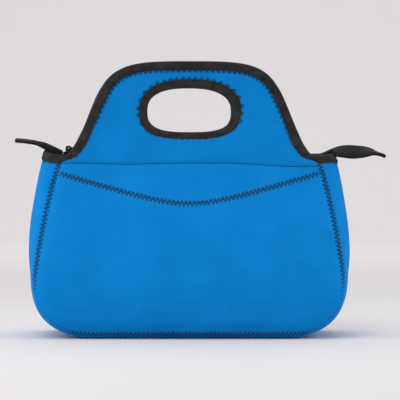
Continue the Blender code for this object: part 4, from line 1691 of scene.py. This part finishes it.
@dataclass
class Tails(Assembly):
    """Fabric tabs over the tape's ends, past both gussets."""

    tape: bpy.types.Material = None
    root_x: float = 131.5
    left_root_x: float = 130.7
    hangs: tuple[float, float] = (6.6, 1.4)
    least_hang: float = 0.4
    droop_power: float = 2.2
    tip_cuts: tuple[float, float] = (0.15, 0.45)
    stitch_row: float = 0.78
    sides: int = 44
    left_keys: tuple[tuple[float, ...], ...] = (
        (130.7, 187.9, 0, 7.4), (136.0, 190.5, 1, 8.2), (142.0, 193.2, 3, 9.2), (149.0, 196.3, 4, 10.4),
        (158.0, 197.9, 6, 11.6), (168.0, 199.2, 6.5, 12.0), (175.0, 199.9, 6, 11.8), (179.2, 200.2, 5.5, 11.4),
    )
    right_keys: tuple[tuple[float, ...], ...] = (
        (131.5, 183.9, 2, 7.4), (138.0, 185.6, 9, 8.4), (144.0, 187.5, 16, 9.4), (149.7, 188.5, 22, 10.6),
        (155.5, 188.8, 28, 11.8), (166.0, 188.4, 34.5, 12.0), (177.0, 188.4, 30.0, 12.0), (183.0, 188.5, 24, 12.0),
        (188.5, 188.3, 15, 11.8), (194.5, 186.5, 6, 11.4), (202.2, 183.7, 0, 10.4),
    )
    half_thick: float = 1.75

    def keys(self, hand: Hand) -> tuple[tuple[float, ...], ...]:
        """Rows of distance out, height, twist and half width along a tail."""
        return self.left_keys if hand is Hand.LEFT else self.right_keys

    def line(self, hand: Hand, x: np.ndarray) -> np.ndarray:
        """Shape of a tail's middle line.

        Args:
            hand: left or right.
            x: distances out from the middle of the bag.

        Returns:
            (N, 3) rows of height, twist in degrees and half width.
        """
        keys = Path.smooth(self.keys(hand), 8).points
        return np.stack([np.interp(x, keys[:, 0], keys[:, k]) for k in (1, 2, 3)], axis=-1)

    def droop(self, x: np.ndarray, hand: Hand) -> np.ndarray:
        """How far a tail's edges hang below its middle, at distances out from the bag's middle."""
        hang = self.hangs[hand is Hand.RIGHT]
        return hang - (hang - self.least_hang) * ease(141.0, 162.0, x)

    def tail(self, hand: Hand) -> None:
        """One tail and the stitches along its edges."""
        tip = self.keys(hand)[-1][0]
        root_x = self.left_root_x if hand is Hand.LEFT else self.root_x
        x = np.concatenate([np.linspace(root_x, tip - 3.0, 60), tip - 3.0 * np.linspace(0.9, 0.0, 8) ** 2])
        z, twist, width = self.line(hand, x).T
        twist = np.radians(twist)
        share = (x - self.root_x) / (tip - self.root_x)
        width = width * np.sqrt(1 - np.clip((x - (tip - 4.0)) / 4.0, 0.0, 1.0) ** 2 * 0.55)
        cut = self.tip_cuts[hand is Hand.RIGHT]
        thick = self.half_thick * (1 + 0.16 * ease(0.86, 0.97, share)) * (1 - cut * ease(tip - 0.9, tip, x))
        profile = super_loop((1.0, 1.0), 3.4, self.sides)
        edge = np.abs(profile[:, 0])
        body = 1 - 0.2 * np.exp(-(((edge - self.stitch_row) / 0.07) ** 2))
        section = profile[None] * np.stack([width, thick], axis=-1)[:, None, :]
        section[..., 1] *= body[None]
        section[..., 1] -= self.droop(x, hand)[:, None] * edge[None] ** self.droop_power
        swell = wander(np.stack([x * hand.value, z * 0, z], axis=-1), 11.0, 3.0) * 0.25
        places = np.stack([x * hand.value, np.zeros_like(x), z + swell], axis=-1)
        across = np.stack([np.zeros_like(x), np.cos(twist), np.sin(twist)], axis=-1)
        up = np.stack([np.zeros_like(x), -np.sin(twist), np.cos(twist)], axis=-1)
        points, faces = sweep(section, places, across, up, False)
        weave = np.stack([np.repeat(x, self.sides), section[..., 0].ravel()], axis=-1)
        stock = MeshStock()
        stock.add(points, faces, weave)
        piece = stock.build(f"{hand.label}_tail", self.tape, sharp=70)
        threads = MeshStock()
        sag = self.droop(x, hand) * self.stitch_row**self.droop_power
        for row in (-self.stitch_row, self.stitch_row):
            for face in (-1, 1):
                threads_of(threads, places, across, up, width * row, face * thick * 0.82 - sag, face)
        stitched = threads.build(f"{hand.label}_tail_thread", self.thread)
        for made in (piece, stitched):
            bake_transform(made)
            self.keep(made, "black_binding")
        (tip - self.root_x) / 1000
        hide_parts(f"{hand.label}_zip_tail")

    def build(self) -> None:
        """Builds both tails."""
        for hand in Hand:
            self.tail(hand)


def threads_of(
    stock: MeshStock, places: np.ndarray, across: np.ndarray, up: np.ndarray, offset: np.ndarray,
    height: np.ndarray, face: int,
) -> None:
    """Adds a row of running stitches along a strip."""
    line = Path(places + across * offset[:, None] + up * height[:, None])
    out = up * face
    pitch, radius = 2.6, 0.2
    for start in np.arange(1.5, line.total - 2.5, pitch):
        at = np.linspace(start, start + pitch * 0.78, 6)
        rise = np.sin(np.linspace(0, math.pi, 6)) * 0.32 - 0.18
        normal = np.stack([np.interp(at, line.lengths, out[:, k]) for k in range(3)], axis=-1)
        stock.add(*tube(line.at(at) + normal * rise[:, None], radius, sides=5))


# Studio ----------------------------------------------------------------------------------------


@dataclass
class Studio:
    """Pale sweep, soft lights and the camera."""

    camera_distance: float = 2000.0
    camera_x: float = 11.0
    camera_z: float = 138.5
    frame_width: float = 412.5
    paper: Colour = linear(221, 218, 219)
    paper_fleck: Colour = linear(230, 227, 228)
    wall_reach: float = 4200.0
    cove: float = 1500.0
    wall_height: float = 3200.0
    air: float = 0.34
    lights: tuple[tuple, ...] = (
        ("key", (-500, -1500, 1500), (1200, 1200), 14.5, (0, 0, 120)),
        ("left_box", (-1300, -300, 500), (700, 1300), 8.6, (-100, 0, 140)),
        ("right_box", (1300, -300, 500), (700, 1300), 7.6, (100, 0, 140)),
        ("top_box", (0, 100, 1700), (1500, 1000), 5.0, (0, 0, 200)),
        ("room", (0, 2900, 3800), (6000, 2800), 62.0, (0, 3900, 0)),
        ("back_wash", (0, 2600, 2600), (3600, 800), 34.0, (0, 5600, 500)),
        ("floor_wash", (0, 1450, 1500), (5400, 900), 6.5, (0, 1450, 0)),
    )

    def sweep(self) -> None:
        """Round floor that curves up into a wall on every side."""
        line = [(0.0, 0.0), (1500.0, 0.0), (3200.0, 0.0), (self.wall_reach, 0.0)]
        for a in np.linspace(0, math.pi / 2, 20)[1:]:
            line.append((self.wall_reach + self.cove * math.sin(a), self.cove * (1 - math.cos(a))))
        line.append((line[-1][0], self.wall_height))
        spokes = np.linspace(0, 2 * math.pi, 96, endpoint=False)
        grid = np.array([[(r * math.cos(a), r * math.sin(a), z) for a in spokes] for r, z in line[1:]])
        points = np.vstack([[(0.0, 0.0, 0.0)], grid.reshape(-1, 3)])
        faces = [tuple(i + 1 for i in face) for face in grid_faces(len(line) - 1, len(spokes), wrap=True)]
        faces += [(0, 1 + j, 1 + (j + 1) % len(spokes)) for j in range(len(spokes))]
        stock = MeshStock()
        stock.add(points, faces)
        g = Graph("studio_paper")
        grain = g.noise(300.0, 2.0)
        paper = g.dress(
            Base_Color=g.blend_colour(grain, self.paper, self.paper_fleck), Roughness=0.9 + 0.05 * grain
        )
        stock.build("studio_sweep", paper)

    def light(
        self, name: str, place: Sequence[float], size: Sequence[float], power: float, aim: Sequence[float]
    ) -> None:
        """Soft box of a size in millimetres, turned towards a point."""
        lamp = bpy.data.lights.new(name, "AREA")
        lamp.shape = "RECTANGLE"
        lamp.size, lamp.size_y = size[0] * MM, size[1] * MM
        lamp.energy = power
        made = bpy.data.objects.new(name, lamp)
        made.location = Vector(place) * MM
        made.rotation_euler = (Vector(aim) * MM - made.location).to_track_quat("-Z", "Y").to_euler()
        bpy.context.scene.collection.objects.link(made)

    def camera(self) -> None:
        """Level camera with a long lens, straight in front."""
        data = bpy.data.cameras.new("camera")
        data.sensor_width = 36.0
        data.lens = 36.0 * self.camera_distance / self.frame_width
        data.clip_end = 50.0
        made = bpy.data.objects.new("camera", data)
        made.location = Vector((self.camera_x, -self.camera_distance, self.camera_z)) * MM
        made.rotation_euler = (math.pi / 2, 0.0, 0.0)
        bpy.context.scene.collection.objects.link(made)
        bpy.context.scene.camera = made

    def build(self) -> None:
        """Sets up the whole studio."""
        self.sweep()
        self.camera()
        world = bpy.data.worlds.new("studio_air")
        world.use_nodes = True
        background = world.node_tree.nodes["Background"]
        background.inputs["Color"].default_value = (1.0, 1.0, 1.0, 1.0)
        background.inputs["Strength"].default_value = self.air
        bpy.context.scene.world = world
        bpy.context.scene.view_settings.view_transform = "Standard"
        for row in self.lights:
            self.light(*row)


def main() -> None:
    """Builds the bag round the frame, then the studio."""
    logging.basicConfig(level=logging.INFO, format="%(message)s")
    neoprene = Neoprene().material()
    binding = WovenTape("black_binding_tape", linear(10, 13, 13), linear(58, 58, 56)).material()
    tape = WovenTape("black_zip_tape", linear(7, 7, 8), linear(24, 24, 25), 0.6, 0.85, 0.15).material()
    thread = Thread().material()
    nylon, metal = Nylon().material(), EnamelMetal().material()
    common = {"neoprene": neoprene, "binding": binding, "thread": thread}
    handle = HandleShape()
    assemblies = (
        BodyPanels(**common, handle=handle),
        Gussets(**common),
        SeamThreads(**common),
        Bindings(**common, shape=handle),
        Zip(**common, tape=tape, nylon=nylon),
        Slider(**common, metal=metal),
        Tails(**common, tape=tape),
    )
    for assembly in assemblies:
        assembly.build()
        assembly.report()
    Studio().build()


if __name__ == "__main__":
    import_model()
    main()
